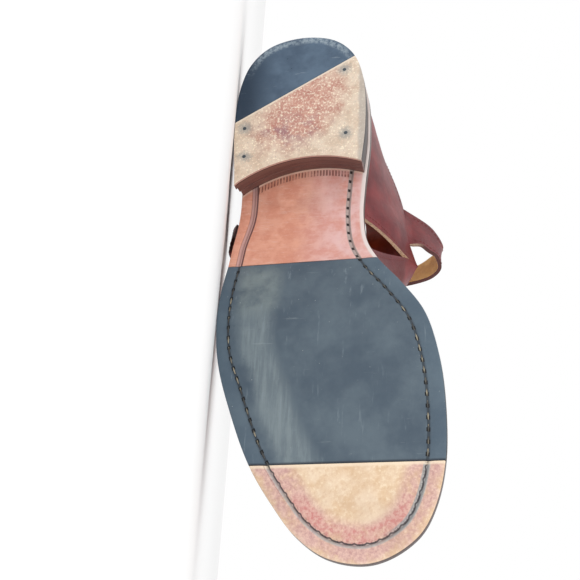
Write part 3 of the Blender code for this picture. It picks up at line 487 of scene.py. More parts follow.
class Finish:
    """A material that is put together from sums over the surface."""

    def __init__(self, name, roughness=0.6, metallic=0.0, coat=0.0, specular=0.5):
        self.material = bpy.data.materials.new(name)
        self.material.use_nodes = True
        self.tree = self.material.node_tree
        self.shader = self.tree.nodes["Principled BSDF"]
        self.shader.inputs["Roughness"].default_value = roughness
        self.shader.inputs["Metallic"].default_value = metallic
        self.shader.inputs["Coat Weight"].default_value = coat
        self.shader.inputs["Specular IOR Level"].default_value = specular
        place = self.node("ShaderNodeTexCoord", {}, ())
        turned = UNLAY.to_euler()
        shift = UNLAY.to_translation() * 1000
        mapping = self.node("ShaderNodeMapping", {"vector_type": "POINT"}, (place.outputs["Object"],))
        mapping.inputs["Rotation"].default_value = turned
        mapping.inputs["Location"].default_value = shift
        mapping.inputs["Scale"].default_value = (1000, 1000, 1000)
        self.place = mapping.outputs[0]
        split = self.node("ShaderNodeSeparateXYZ", {}, (self.place,))
        self.x, self.y, self.z = (Reading(self, socket) for socket in split.outputs)
        self.heights = []

    def node(self, kind, settings, values):
        """A node of a kind, with its settings and then its sockets, by place or by name."""
        node = self.tree.nodes.new(kind)
        for key, value in settings.items():
            setattr(node, key, value)
        pairs = values.items() if isinstance(values, dict) else enumerate(values)
        for key, value in pairs:
            if isinstance(value, Reading):
                value = value.socket
            if isinstance(value, bpy.types.NodeSocket):
                self.tree.links.new(value, node.inputs[key])
            else:
                node.inputs[key].default_value = value
        return node

    def attribute(self, name):
        """A number stored on the piece's corners."""
        return Reading(self, self.node("ShaderNodeAttribute", {"attribute_name": name}, ()).outputs["Fac"])

    def stretched(self, along=1.0, across=1.0, up=1.0, turned=0.0):
        """Shoe coordinates in millimetres, squeezed so that a pattern runs along one way."""
        values = {"Vector": self.place, "Scale": (along, across, up), "Rotation": (0, 0, turned)}
        return self.node("ShaderNodeMapping", {}, values).outputs[0]

    def noise(self, size, detail=3.0, rough=0.5, at=None):
        """Noise with features of a size in millimetres, from 0 to 1."""
        values = {"Vector": at or self.place, "Scale": 1 / size, "Detail": detail, "Roughness": rough}
        return Reading(self, self.node("ShaderNodeTexNoise", {}, values).outputs[0])

    def cells(self, size, feature="F1", at=None):
        """Distance to the nearest of scattered points."""
        values = {"Vector": at or self.place, "Scale": 1 / size}
        node = self.node("ShaderNodeTexVoronoi", {"feature": feature}, values)
        return Reading(self, node.outputs["Distance"])

    def mix(self, mask, below, above):
        """One colour where the mask is 0 and another where it is 1."""
        node = self.node("ShaderNodeMix", {"data_type": "RGBA"}, {0: mask, 6: below, 7: above})
        return node.outputs[2]

    def colour(self, socket):
        self.tree.links.new(socket, self.shader.inputs["Base Color"])

    def rough(self, reading):
        self.tree.links.new(reading.socket, self.shader.inputs["Roughness"])

    def coat(self, reading):
        self.tree.links.new(reading.socket, self.shader.inputs["Coat Weight"])

    def metal(self, reading):
        self.tree.links.new(reading.socket, self.shader.inputs["Metallic"])

    def relief(self, height, depth=0.1):
        """Raise the surface by a reading, in millimetres for each unit."""
        values = {"Strength": 1.0, "Distance": depth * MM, "Height": height}
        bump = self.node("ShaderNodeBump", {}, values)
        self.tree.links.new(bump.outputs[0], self.shader.inputs["Normal"])


def rgb(red, green, blue):
    """A colour as a screen shows it, 0 to 255, in the light that Blender sums."""
    linear = [((c / 255 + 0.055) / 1.055) ** 2.4 if c > 10 else c / 255 / 12.92 for c in (red, green, blue)]
    return (*linear, 1.0)


# %% [markdown]
# These wrap the operators that each piece needs: enter and leave Edit Mode, pick elements by a rule,
# apply a modifier, and slice a slab so that it can bend. Doing it in one place keeps the cells short.

# %% Modelling helpers
def edit(thing, mode="FACE"):
    """Open a piece for editing with nothing selected."""
    bpy.context.view_layer.objects.active = thing
    bpy.ops.object.mode_set(mode="EDIT")
    bpy.ops.mesh.select_mode(type=mode)
    bpy.ops.mesh.select_all(action="DESELECT")


def close():
    bpy.ops.object.mode_set(mode="OBJECT")


def pick(thing, test, kind="FACE"):
    """Select the faces, edges or corners that pass a test, in edit mode."""
    mesh = bmesh.from_edit_mesh(thing.data)
    chosen = {"FACE": mesh.faces, "EDGE": mesh.edges, "VERT": mesh.verts}[kind]
    for element in chosen:
        element.select = bool(test(element))
    mesh.select_flush_mode()
    bmesh.update_edit_mesh(thing.data)


def use(thing, kind, **settings):
    """Add a modifier and apply it."""
    modifier = thing.modifiers.new(kind.lower(), kind)
    for key, value in settings.items():
        setattr(modifier, key, value)
    clear_selection()
    thing.select_set(True)
    bpy.context.view_layer.objects.active = thing
    bpy.ops.object.modifier_apply(modifier=modifier.name)


def place_piece(thing, nodes, slot, *finishes):
    """Lay a finished piece over with the shoe, dress it, and let it stand for its solids."""
    thing.data.transform(LAY)
    thing.data.update()
    sides = [face.material_index for face in thing.data.polygons]
    thing.data.materials.clear()
    for finish in finishes:
        thing.data.materials.append(finish.material)
    for face, side in zip(thing.data.polygons, sides):
        face.material_index = min(side, len(finishes) - 1)
    clear_selection()
    thing.select_set(True)
    bpy.context.view_layer.objects.active = thing
    bpy.ops.object.shade_smooth_by_angle(angle=math.radians(38))
    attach(thing, "root")
    if nodes:
        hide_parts(*nodes)
    print(thing.name, len(thing.data.polygons), "faces")


def slab(name, loop, thickness):
    """A flat slab: a filled circle whose corners are moved to a loop, and extruded upwards."""
    clear_selection()
    bpy.ops.mesh.primitive_circle_add(vertices=len(loop), radius=1, fill_type="NGON")
    thing = bpy.context.object
    thing.name = name
    for vertex, point in zip(thing.data.vertices, loop):
        vertex.co = (point[0], point[1], 0.0)
    edit(thing)
    bpy.ops.mesh.select_all(action="SELECT")
    bpy.ops.mesh.extrude_region_move(TRANSFORM_OT_translate={"value": (0, 0, thickness)})
    bpy.ops.mesh.select_all(action="SELECT")
    bpy.ops.mesh.normals_make_consistent(inside=False)
    close()
    return thing


def slice_piece(thing, places, axis):
    """Bisect a piece across at each place, so that it can bend there."""
    edit(thing)
    for place in places:
        bpy.ops.mesh.select_all(action="SELECT")
        origin = [0.0, 0.0, 0.0]
        origin[axis] = place
        normal = [0.0, 0.0, 0.0]
        normal[axis] = 1.0
        bpy.ops.mesh.bisect(plane_co=origin, plane_no=normal)
    close()


# %% [markdown]
# A real sole is cut from flat leather, and a channel for the stitches is cut round its underside.
# The same order works here: extrude the outline, inset its lower face in rings, lift the rings of the
# groove, and bevel the rim. The slab is bent only later, as a flat one is easier to cut.

# %% The sole's blank
EDGE_PITCH = 1.5 * MM
CHANNEL_INSET = 8.0 * MM
RINGS = (2.0, 4.5, 7.2, 7.5, 8.5, 8.8, 11.5, 15.5)
GROOVE_DEPTH = 0.55 * MM
SOLE_FIT = FIT / 2
rim = even_loop(outline.inset(lambda x: SOLE_FIT).loop, EDGE_PITCH)[::-1]


def outer_nudge(x, y):
    """The channel runs closer to the edge on the outer side of the waist."""
    along = ease((x / MM - 100) / 25) * (1 - ease((x / MM - 180) / 25))
    return 1.8 * MM * along if y > 0 else 0.0


def cut_blank(name):
    """The whole sole, flat, with the stitching channel cut into its underside."""
    blank = slab(name, rim, OUTSOLE_THICKNESS)
    edit(blank)
    pick(blank, lambda face: face.normal.z < -0.9)
    done = 0.0
    for ring in RINGS:
        bpy.ops.mesh.inset(thickness=ring * MM - done, use_boundary=True)
        done = ring * MM
    close()
    count = len(rim)
    vertices = blank.data.vertices
    for k, ring in enumerate(RINGS):
        first = 2 * count + k * count
        weight = max(0.0, 1 - abs(ring * MM - CHANNEL_INSET) / (6 * MM))
        for vertex in vertices[first:first + count]:
            vertex.co.y += outer_nudge(vertex.co.x, vertex.co.y) * weight
            if ring in (7.5, 8.5):
                vertex.co.z += GROOVE_DEPTH
    edit(blank, "EDGE")
    pick(blank, is_rim, "EDGE")
    bpy.ops.mesh.bevel(offset=0.7 * MM, segments=2, profile=0.6)
    close()
    return blank


def is_rim(edge):
    """Whether an edge lies between a slab's wall and one of its flat faces."""
    walls = [abs(face.normal.z) < 0.3 for face in edge.link_faces]
    return sum(walls) == 1


def box_tool(low, high):
    """A box between two corners, to cut with."""
    clear_selection()
    middle = [(a + b) / 2 for a, b in zip(low, high)]
    bpy.ops.mesh.primitive_cube_add(size=1, location=middle, scale=[b - a for a, b in zip(low, high)])
    bpy.ops.object.transform_apply(location=True, rotation=True, scale=True)
    return bpy.context.object


def cut_with(thing, tool, operation):
    """Apply a Boolean with a tool, and take the tool away."""
    use(thing, "BOOLEAN", object=tool, operation=operation, solver="EXACT")
    bpy.data.objects.remove(tool, do_unlink=True)


def bend_sole(thing):
    """Bend a flat slab along the sole's own curve."""
    for vertex in thing.data.vertices:
        vertex.co.z += sole_bottom(vertex.co.x)


def distances(points, loop):
    """Distance from each point to a closed line, the side, and the place along the line."""
    start = loop
    span = np.roll(loop, -1, axis=0) - loop
    lengths = np.linalg.norm(span, axis=1)
    before = np.concatenate(([0.0], np.cumsum(lengths)[:-1]))
    away = points[:, None, :] - start[None, :, :]
    share = np.clip((away * span).sum(axis=2) / lengths ** 2, 0, 1)
    gap = away - share[:, :, None] * span
    far = np.linalg.norm(gap, axis=2)
    nearest = far.argmin(axis=1)
    rows = np.arange(len(points))
    cross = span[nearest, 0] * away[rows, nearest, 1] - span[nearest, 1] * away[rows, nearest, 0]
    along = before[nearest] + share[rows, nearest] * lengths[nearest]
    return far[rows, nearest], np.sign(cross), along


channel = outline.inset(lambda x: CHANNEL_INSET).loop[::-1]
channel = even_loop([(x, y + outer_nudge(x, y)) for x, y in channel], EDGE_PITCH)


def measure_sole(thing):
    """Store each corner's distance from the edge and from the channel, in millimetres."""
    points = np.array([vertex.co[:2] for vertex in thing.data.vertices])
    edge, _, _ = distances(points, rim)
    gap, side, along = distances(points, channel)
    heights = np.array([vertex.co.z for vertex in thing.data.vertices])
    readings = (("edge_mm", edge), ("channel_mm", gap * side), ("along_mm", along), ("up_mm", heights))
    for name, values in readings:
        layer = thing.data.attributes.new(name, "FLOAT", "POINT")
        layer.data.foreach_set("value", (values / MM).astype(np.float32))


# %% [markdown]
# The rubber lies flush in the leather, from edge to edge. Both are cut from the same blank with
# a box, one by taking away and one by keeping, so that their outlines match. Then they are sliced and bent
# together along the toe's spring.

# %% Leather sole and rubber half sole
RUBBER_START = RUBBER_FROM * SOLE_LENGTH
RUBBER_END = RUBBER_TO * SOLE_LENGTH
CUT_REACH = 0.2
ACROSS_PLACES = [y * MM for y in range(-66, 36, 6)]
ALONG_PLACES = [x * MM for x in range(4, 281, 4)]
leather_sole = cut_blank("leather_sole")
rubber_sole = cut_blank("rubber_half_sole")
tool = box_tool((RUBBER_START, -CUT_REACH, -0.01), (RUBBER_END, CUT_REACH, RUBBER_THICKNESS + FIT))
cut_with(leather_sole, tool, "DIFFERENCE")
tool = box_tool((RUBBER_START + FIT, -CUT_REACH, -0.01), (RUBBER_END - FIT, CUT_REACH, RUBBER_THICKNESS))
cut_with(rubber_sole, tool, "INTERSECT")
for piece in (leather_sole, rubber_sole):
    slice_piece(piece, ACROSS_PLACES, 1)
    slice_piece(piece, ALONG_PLACES, 0)
    measure_sole(piece)
    bend_sole(piece)

# %% [markdown]
# A heel is a stack of leather lifts with a hollow front face, and its tread is split along a slanting
# line into leather and rubber. Each layer is a beveled slab with its upper corners moved back, which gives
# the lean that a single block would need a sculpted face for.

# %% The heel
def breast_x(y, forward):
    """The heel's hollow front face."""
    centre_x = HEEL_LENGTH - BREAST_HOLLOW + BREAST_RADIUS
    centre_y = BREAST_ACROSS * HEEL_WIDTH
    return centre_x + forward - math.sqrt(BREAST_RADIUS ** 2 - (y - centre_y) ** 2)


def heel_loop(inset, forward):
    """The heel's outline: round the back, and hollow at the breast."""
    shrunk = outline.inset(lambda x: inset + FIT / 2)
    sides = []
    for sign in (1, -1):
        corner_y = shrunk.at(sign, HEEL_LENGTH - BREAST_CORNER)[0][1]
        corner_x = breast_x(corner_y, forward)
        side = [tuple(shrunk.loop[k]) for k in shrunk.side(sign) if shrunk.loop[k][0] < corner_x - 0.3 * MM]
        sides.append(side + [(corner_x, shrunk.at(sign, corner_x)[0][1])])
    lateral, medial = sides
    first, last = lateral[-1][1], medial[-1][1]
    ys = np.linspace(first, last, 42)[1:-1]
    loop = lateral + [(breast_x(y, forward), y) for y in ys] + medial[:0:-1]
    return np.array(loop[::-1])


def heel_piece(name, inset, forward_low, forward_high, z_low, z_high, bevel):
    """One layer of the heel, its breast leaning back as it rises."""
    piece = slab(name, heel_loop(inset, forward_low), z_high - z_low)
    for vertex in piece.data.vertices:
        if vertex.co.z > (z_high - z_low) / 2:
            share = ease(vertex.co.x / HEEL_LENGTH * 1.6 - 0.5)
            vertex.co.x += (forward_high - forward_low) * share
        vertex.co.z += z_low
    edit(piece, "EDGE")
    pick(piece, is_rim, "EDGE")
    bpy.ops.mesh.bevel(offset=bevel, segments=3, profile=0.5)
    close()
    return piece


heel_pieces = []
lift_height = (HEEL_HEIGHT - TOP_LIFT_THICKNESS) / LIFT_COUNT
for k in range(LIFT_COUNT):
    low = TOP_LIFT_THICKNESS + k * lift_height
    leans = [BREAST_LEAN * (1 - z / HEEL_HEIGHT) for z in (low, low + lift_height)]
    piece = heel_piece(f"heel_stack_{k + 1}", LIFT_STEP * (k + 1), leans[0], leans[1],
                       low, low + lift_height - 0.12 * MM, 0.25 * MM)
    heel_pieces.append(piece)


def half_of_top_lift(name, ahead):
    """The top lift, cut along the oblique line, and its leather or rubber side kept."""
    piece = heel_piece(name, 0.0, BREAST_LEAN, BREAST_LEAN, 0.0, TOP_LIFT_THICKNESS - 0.12 * MM, 0.35 * MM)
    way = Vector((math.cos(TOP_LIFT_SLANT), math.sin(TOP_LIFT_SLANT), 0))
    point = Vector((TOP_LIFT_LINE_ALONG * HEEL_LENGTH, TOP_LIFT_LINE_ACROSS * HEEL_WIDTH, 0))
    edit(piece)
    bpy.ops.mesh.select_all(action="SELECT")
    shift = 0.12 * MM if ahead else -0.12 * MM
    bpy.ops.mesh.bisect(plane_co=point + way * shift, plane_no=way, use_fill=True,
                        clear_inner=ahead, clear_outer=not ahead)
    close()
    slice_piece(piece, [y * MM for y in range(-34, 36, 4)], 1)
    slice_piece(piece, [x * MM for x in range(3, 86, 4)], 0)
    return piece


top_leather = half_of_top_lift("top_lift_tread_leather", True)
top_rubber = half_of_top_lift("top_lift_tread_rubber", False)
tread_loop = heel_loop(0.0, BREAST_LEAN)
for piece in (top_leather, top_rubber):
    points = np.array([vertex.co[:2] for vertex in piece.data.vertices])
    edge, _, _ = distances(points, tread_loop)
    layer = piece.data.attributes.new("edge_mm", "FLOAT", "POINT")
    layer.data.foreach_set("value", (edge / MM).astype(np.float32))

# %% [markdown]
# The insole is a thin sheet that the foot rests on. It is a slab from the sole's outline, moved inwards
# by the wall of the upper, and bent to lie on the sole.

# %% The insole
inner_loop = outline.inset(lambda x: feather_margin(x) + UPPER_WALL + 2 * FIT)
insole = slab("inner_sole", even_loop(inner_loop.loop, 2 * MM)[::-1], INSOLE_THICKNESS)
edit(insole, "EDGE")
pick(insole, is_rim, "EDGE")
bpy.ops.mesh.bevel(offset=0.5 * MM, segments=2)
close()
slice_piece(insole, ALONG_PLACES, 0)
for vertex in insole.data.vertices:
    vertex.co.z += sole_top(vertex.co.x) + FIT


# %% [markdown]
# Leather is pulled over a wooden last, so the wall is read as a surface: a place along the sole and
# a height up the side give one point. Creases are added to it as soft troughs and ridges, each with its own
# ends and width, as wear leaves them.

# %% The upper's shape
Crease = namedtuple("Crease", "side share_a turn_a share_b turn_b width height")
CREASES = (
    Crease(1, 0.585, 0.12, 0.640, 0.95, 4.0, -0.55),
    Crease(1, 0.620, 0.15, 0.665, 0.95, 4.0, 0.35),
    Crease(1, 0.662, 0.10, 0.705, 0.92, 4.5, -0.6),
    Crease(-1, 0.600, 0.12, 0.640, 0.95, 4.0, -0.5),
    Crease(-1, 0.650, 0.12, 0.690, 0.95, 4.5, -0.6),
    Crease(-1, 0.700, 0.15, 0.735, 0.90, 4.0, 0.3),
    Crease(-1, 0.250, 0.98, 0.300, 0.30, 6.0, -0.7),
    Crease(-1, 0.300, 0.95, 0.345, 0.35, 5.0, 0.45),
    Crease(-1, 0.175, 0.85, 0.235, 0.45, 7.0, -0.6),
    Crease(1, 0.240, 0.95, 0.290, 0.35, 6.0, -0.7),
    Crease(1, 0.120, 0.75, 0.200, 0.40, 7.0, -0.5),
    Crease(1, 0.030, 0.62, 0.120, 0.50, 6.0, -0.5),
    Crease(-1, 0.030, 0.58, 0.110, 0.50, 6.0, -0.5),
)


def crease_height(sign, share, turn):
    """How far the wear creases lower or raise the wall at one place."""
    spot = np.array((share * 275, turn * 62))
    total = 0.0
    for crease in CREASES:
        if crease.side != sign:
            continue
        start = np.array((crease.share_a * 275, crease.turn_a * 62))
        end = np.array((crease.share_b * 275, crease.turn_b * 62))
        along = np.clip(np.dot(spot - start, end - start) / np.dot(end - start, end - start), 0, 1)
        away = np.linalg.norm(spot - start - (end - start) * along) / crease.width
        total += crease.height * MM * math.exp(-away * away * 2) * math.sin(math.pi * (0.08 + 0.84 * along))
    return total


class Last:
    """The shape that the upper is drawn over, as walls that rise from the sole to a rim."""

    def __init__(self):
        self.foot_line = outline.inset(feather_margin)
        self.length = self.foot_line.tip - self.foot_line.back
        self.columns = dict(zip(Section._fields, Smooth([row.foot for row in SECTIONS], SECTIONS).values.T))
        self.samples = np.linspace(SECTIONS[0].foot, SECTIONS[-1].foot, 1500)

    def column(self, name, share):
        """One column of the table of sections, read smoothly."""
        return float(np.interp(share, self.samples, self.columns[name]))

    def foot(self, sign, share):
        """The lowest point of a wall, and the direction out of the shoe there."""
        x = self.foot_line.back + share * self.length
        if share <= 0.0:
            index = self.foot_line.back_index
            point, outward = self.foot_line.loop[index], self.foot_line.outward[index]
        else:
            point, outward = self.foot_line.at(sign, x)
        return np.array((*point, sole_top(x) + FIT)), np.array((*outward, 0.0))

    def rim(self, sign, share):
        """The highest point of a wall."""
        along, across = ("lat_along", "lat") if sign > 0 else ("med_along", "med")
        x_foot = self.foot_line.back + share * self.length
        x = self.column(along, share) * SOLE_LENGTH
        y = self.column(across, share) * BALL_WIDTH
        if share > THROAT - 1e-6:
            middle = (self.column("lat", share) + self.column("med", share)) / 2 * BALL_WIDTH
            narrowing = 1 - T_BAR_TAPER * ease((share - 1 + TAPER_SHARE) / TAPER_SHARE)
            y = middle + sign * T_BAR_WIDTH / 2 * narrowing
        return np.array((x, y, sole_top(x_foot) + self.column("rise", share) * INSTEP_HEIGHT))

    def wall(self, sign, share, turn):
        """A point of the upper's outer face, at a share of the way up its section."""
        foot, outward = self.foot(sign, share)
        top = self.rim(sign, share)
        rounding = min(max(self.column("round", share), 0.0), 1.0)
        angle = turn * RIM_ANGLE
        inward = (1 - math.cos(angle) ** SECTION_FULLNESS) / (1 - math.cos(RIM_ANGLE) ** SECTION_FULLNESS)
        upward = (math.sin(angle) / math.sin(RIM_ANGLE)) ** SECTION_FULLNESS
        across = turn + (inward - turn) * rounding
        rising = turn + (upward - turn) * rounding
        belly = self.column("belly_lat" if sign > 0 else "belly_med", share) * BALL_WIDTH
        point = foot + (top - foot) * np.array((across, across, rising))
        return point + outward * belly * math.sin(math.pi * turn)

    def outer(self, sign, share, turn):
        """The direction out of the wall at a point."""
        step = 0.008
        far = self.wall(sign, min(share + step, LAST_STATION), turn)
        ahead = far - self.wall(sign, max(share - step, 0), turn)
        around = self.wall(sign, share, min(turn + step, 1.0)) - self.wall(sign, share, max(turn - step, 0))
        normal = np.cross(ahead, around) * sign
        normal /= np.linalg.norm(normal) + 1e-12
        foot, outward = self.foot(sign, share)
        lift = np.dot(normal, outward + np.array((0, 0, 0.4)))
        return normal if lift > 0 else -normal

    def skin(self, sign, share, turn, lift=0.0):
        """A point at a height above the wall, with the creases of wear let in."""
        height = lift + crease_height(sign, share, turn)
        return self.wall(sign, share, turn) + self.outer(sign, share, turn) * height


last = Last()


def cage_stations():
    """Foot places of the vamp's cross straps and gaps, and of the toe cap behind them."""
    strap, gap = CROSS_STRAP_WIDTH / last.length, CAGE_GAP / last.length
    places, kinds = [THROAT, THROAT + REAR_BAND / last.length], ["wall"]
    for _ in range(CROSS_STRAPS):
        places += [places[-1] + gap, places[-1] + gap + strap / 2, places[-1] + gap + strap]
        kinds += ["gap", "strap", "strap"]
    places.append(places[-1] + gap)
    kinds.append("gap")
    start = places[-1]
    places += [start + (LAST_STATION - start) * share for share in CAP_STATIONS]
    kinds += ["cap"] * len(CAP_STATIONS)
    return places, kinds


def upper_stations():
    """Every station of the upper with the kind of wall that follows it."""
    crease = (CREASE_FROM, (CREASE_FROM + CREASE_TO) / 2, CREASE_TO)
    places = list(HEEL_STATIONS) + list(crease) + [ARCH_FROM, ARCH_TO]
    kinds = ["wall"] * (len(places) - 2) + ["arch"]
    places += [ARCH_TO + (THROAT - ARCH_TO) * share for share in (0.33, 0.66)]
    kinds += ["wall", "wall", "wall"]
    cage, cage_kinds = cage_stations()
    return places + cage, kinds + cage_kinds


def turn_rows():
    """Heights of the rows of the wall."""
    rows = [0.0]
    rows += [FOOT_BAND + (RUNNER_FROM - FOOT_BAND) * k / LOWER_ROWS for k in range(LOWER_ROWS + 1)]
    rows += [RUNNER_TO + (1 - RUNNER_TO) * k / UPPER_ROWS for k in range(UPPER_ROWS + 1)]
    return rows


def beside_arch(share, turn, tip_turn):
    """Where a station lies at one height: the two beside the arch cut-out close on its tip."""
    if share not in (ARCH_FROM, ARCH_TO):
        return share
    closing = min(turn / tip_turn, 1.0) ** ARCH_CLOSING
    return share + (ARCH_TIP - share) * closing


def is_open(kind, j):
    """Whether a cell of the side wall is a gap of the cage or of the arch cut-out."""
    if kind == "arch":
        return True
    lower = 1 <= j < 1 + LOWER_ROWS
    upper = j > 1 + LOWER_ROWS
    return kind == "gap" and (lower or upper)


# %% [markdown]
# The wall is a grid whose corners are moved to that surface, and the cells of the cage's gaps and
# of the cut-out are taken out. A grid with missing cells gives clean edges, where Booleans on a curved
# sheet would leave slivers.

# %% Sheets of leather
def sheet(name, lines, keep=None, flip=False):
    """A grid whose corners are moved to lines of points, with some cells taken out."""
    lines = np.asarray(lines, dtype=float)
    along, across = len(lines) - 1, len(lines[0]) - 1
    clear_selection()
    bpy.ops.mesh.primitive_grid_add(x_subdivisions=along, y_subdivisions=across, size=2)
    thing = bpy.context.object
    thing.name = name
    for vertex in thing.data.vertices:
        i = round((vertex.co.x + 1) / 2 * along)
        j = round((vertex.co.y + 1) / 2 * across)
        vertex.co = lines[i][j]
    edit(thing)
    if keep is not None:
        cells = {}
        mesh = bmesh.from_edit_mesh(thing.data)
        for face in mesh.faces:
            cells[face.index] = (face.index % along, face.index // along)
        pick(thing, lambda face: not keep(*cells[face.index]))
        bpy.ops.mesh.delete(type="FACE")
    bpy.ops.mesh.select_all(action="SELECT")
    bpy.ops.mesh.remove_doubles(threshold=0.01 * MM)
    if flip:
        bpy.ops.mesh.select_all(action="SELECT")
        bpy.ops.mesh.flip_normals()
    close()
    return thing


def join(name, pieces):
    """Join pieces to one."""
    clear_selection()
    for piece in pieces:
        piece.select_set(True)
    bpy.context.view_layer.objects.active = pieces[0]
    bpy.ops.object.join()
    joined = bpy.context.object
    joined.name = name
    return joined


FINE = 4
ROW_FINE = 3
places, kinds = upper_stations()
rows = turn_rows()
tip_turn = rows[ARCH_TIP_ROW]
strap_middles = [i for i in range(1, len(kinds)) if kinds[i - 1] == kinds[i] == "strap"]


def fine(values, steps):
    """Where each of the values, with steps put between each pair, lies in the old list."""
    spots = [i + k / steps for i in range(len(values) - 1) for k in range(steps)] + [len(values) - 1]
    return spots


def share_at(spot, turn):
    """The place along the upper at a spot between two stations."""
    i = min(int(spot), len(places) - 2)
    ends = [beside_arch(places[k], turn, tip_turn) for k in (i, i + 1)]
    return ends[0] + (ends[1] - ends[0]) * (spot - i)


def turn_at(spot):
    i = min(int(spot), len(rows) - 2)
    return rows[i] + (rows[i + 1] - rows[i]) * (spot - i)


wall_parts = []
spots = fine(places, FINE)
row_spots = fine(rows, ROW_FINE)
for sign in (1, -1):
    lines = []
    for spot in spots:
        lines.append([last.skin(sign, share_at(spot, turn_at(r)), turn_at(r)) for r in row_spots])

    def kept(i, j):
        return not is_open(kinds[i // FINE], j // ROW_FINE)

    wall_parts.append(sheet("wall", lines, kept, flip=sign > 0))
print("upper walls placed")


# %% [markdown]
# The strap is one long band. It starts at the inner crease, turns so that its lining shows, passes
# over the instep through the loop of the T-bar, and ends past the buckle. A table gives its two edges,
# and everything that sits on it is placed along that band.

# %% T-bar, ankle strap
class Band:
    """The ankle strap's path, read between two edges."""

    def __init__(self):
        seat = HEEL_HEIGHT + OUTSOLE_THICKNESS
        rows = []
        for row in STRAP_ROWS:
            front = (row[0] * SOLE_LENGTH, row[1] * BALL_WIDTH, seat + row[2] * STRAP_RISE)
            back = (row[3] * SOLE_LENGTH, row[4] * BALL_WIDTH, seat + row[5] * STRAP_RISE)
            rows.append((front, back))
        self.rows = np.array([self.base(-1)] + rows + [self.base(1)])
        self.knots = np.arange(len(self.rows), dtype=float)
        self.path = Smooth(self.knots, self.rows)

    def base(self, sign):
        """The strap's end along the crease of the heel part."""
        lift = np.array((0.0, 0.0, FIT))
        return (last.rim(sign, CREASE_TO) + lift, last.rim(sign, CREASE_FROM) + lift)

    def edges(self, row):
        """Front and back edge at a row, counted along the strap."""
        return self.path(row)

    def frame(self, row):
        """Middle, direction along, direction to the back edge, and direction outwards."""
        front, back = self.edges(row)
        step = 0.02
        low, high = max(row - step, 0.0), min(row + step, self.knots[-1])
        along = self.edges(high).mean(axis=0) - self.edges(low).mean(axis=0)
        along /= np.linalg.norm(along)
        across = back - front
        across /= np.linalg.norm(across)
        outward = np.cross(along, across)
        outward /= np.linalg.norm(outward)
        return (front + back) / 2, along, across, outward

    def pace(self, row):
        """Length of the strap from half a row before to half a row after."""
        ahead = self.edges(row + 0.5).mean(axis=0) - self.edges(row - 0.5).mean(axis=0)
        return float(np.linalg.norm(ahead))

    def point(self, row, side, offset):
        """A point at side -1 (front edge) to 1 (back edge), offset outwards."""
        front, back = self.edges(row)
        outward = self.frame(row)[3]
        return (front + back) / 2 + (back - front) / 2 * side + outward * offset


band = Band()
BAR_ROW = BUCKLE_ROW + (BUCKLE_LENGTH - BUCKLE_WIRE) / band.pace(BUCKLE_ROW)
KEEPER_HALF = KEEPER_WIDTH / 2 / band.pace(KEEPER_ROW)
BESIDE_BAR = (BUCKLE_WIRE / 2 + 2 * FIT) / band.pace(BUCKLE_ROW)


def strap_lift(row):
    """How far the long strap stands off the band: over the buckle's bar, then on the stub."""
    over_bar = BUCKLE_WIRE + 3 * FIT + STRAP_THICKNESS - BAR_SINK
    resting = STRAP_THICKNESS + FIT
    spots = [BUCKLE_ROW + BESIDE_BAR, BAR_ROW - BESIDE_BAR, BAR_ROW + BESIDE_BAR, KEEPER_ROW - KEEPER_HALF]
    return float(np.interp(row, spots, [0.0, over_bar, over_bar, resting]))


def t_bar_line(lateral, medial, crown, count=8):
    """Points from one edge of the T-bar to the other, bowed upwards."""
    line = []
    for k in range(count + 1):
        s = k / count
        line.append(lateral + (medial - lateral) * s + np.array((0.0, 0.0, crown * 4 * s * (1 - s))))
    return line


def loop_lines():
    """Lines of the T-bar where it folds over the strap, from its end on top to the throat."""
    front, back = band.edges(T_BAR_ROW)
    half = np.linalg.norm(back - front) / 2
    above = FIT
    below = -STRAP_THICKNESS - FIT
    centre = (above + below) / 2
    radius = (above - below) / 2
    route = [(side, above) for side in np.linspace(-0.75, 1.0, 9)]
    for k in range(1, 8):
        angle = math.pi / 2 - math.pi * k / 8
        route.append((1 + radius * math.cos(angle) / half, centre + radius * math.sin(angle)))
    route += [(side, below) for side in np.linspace(1.0, -1.25, 10)]
    reach = T_BAR_WIDTH / 2 / band.pace(T_BAR_ROW)
    across = [T_BAR_ROW + reach * (1 - k / 4) for k in range(9)]
    return [[band.point(row, side, offset) for row in across] for side, offset in route]


t_lines = loop_lines()
neck = np.array(t_bar_line(last.rim(1, THROAT), last.rim(-1, THROAT), T_BAR_CROWN))
first = np.array(t_lines[-1])
for s in np.linspace(0, 1, 13)[1:-1]:
    dip = np.array((0.0, 0.0, -T_BAR_DIP * math.sin(math.pi * s)))
    t_lines.append(list(first + (neck - first) * s + dip))
throat_index = places.index(THROAT)
for spot in [s for s in spots if s >= throat_index]:
    share = share_at(spot, 1.0)
    t_lines.append(t_bar_line(last.rim(1, share), last.rim(-1, share), T_BAR_CROWN))
toe_rows = row_spots[::-1][1:]
for k, spot in enumerate(toe_rows, start=1):
    turn_here = turn_at(spot)
    line = t_bar_line(last.wall(1, LAST_STATION, turn_here), last.wall(-1, LAST_STATION, turn_here),
                      T_BAR_CROWN * (1 - k / len(toe_rows)))
    t_lines.append([p + np.array((TOE_BOW * 4 * (m / 8) * (1 - m / 8), 0, 0)) for m, p in enumerate(line)])
t_bar = sheet("t_bar", t_lines, flip=True)

upper = join("upper_leather", wall_parts + [t_bar])
edit(upper)
bpy.ops.mesh.select_all(action="SELECT")
bpy.ops.mesh.remove_doubles(threshold=0.01 * MM)
close()


def give_wall(thing, thickness):
    """Turn a sheet into leather: finished outside, lining inside and a cut edge between."""
    for _ in range(3):
        thing.data.materials.append(None)
    use(thing, "SOLIDIFY", thickness=thickness, offset=-1.0, use_even_offset=True,
        use_quality_normals=True, material_offset=1, material_offset_rim=2)


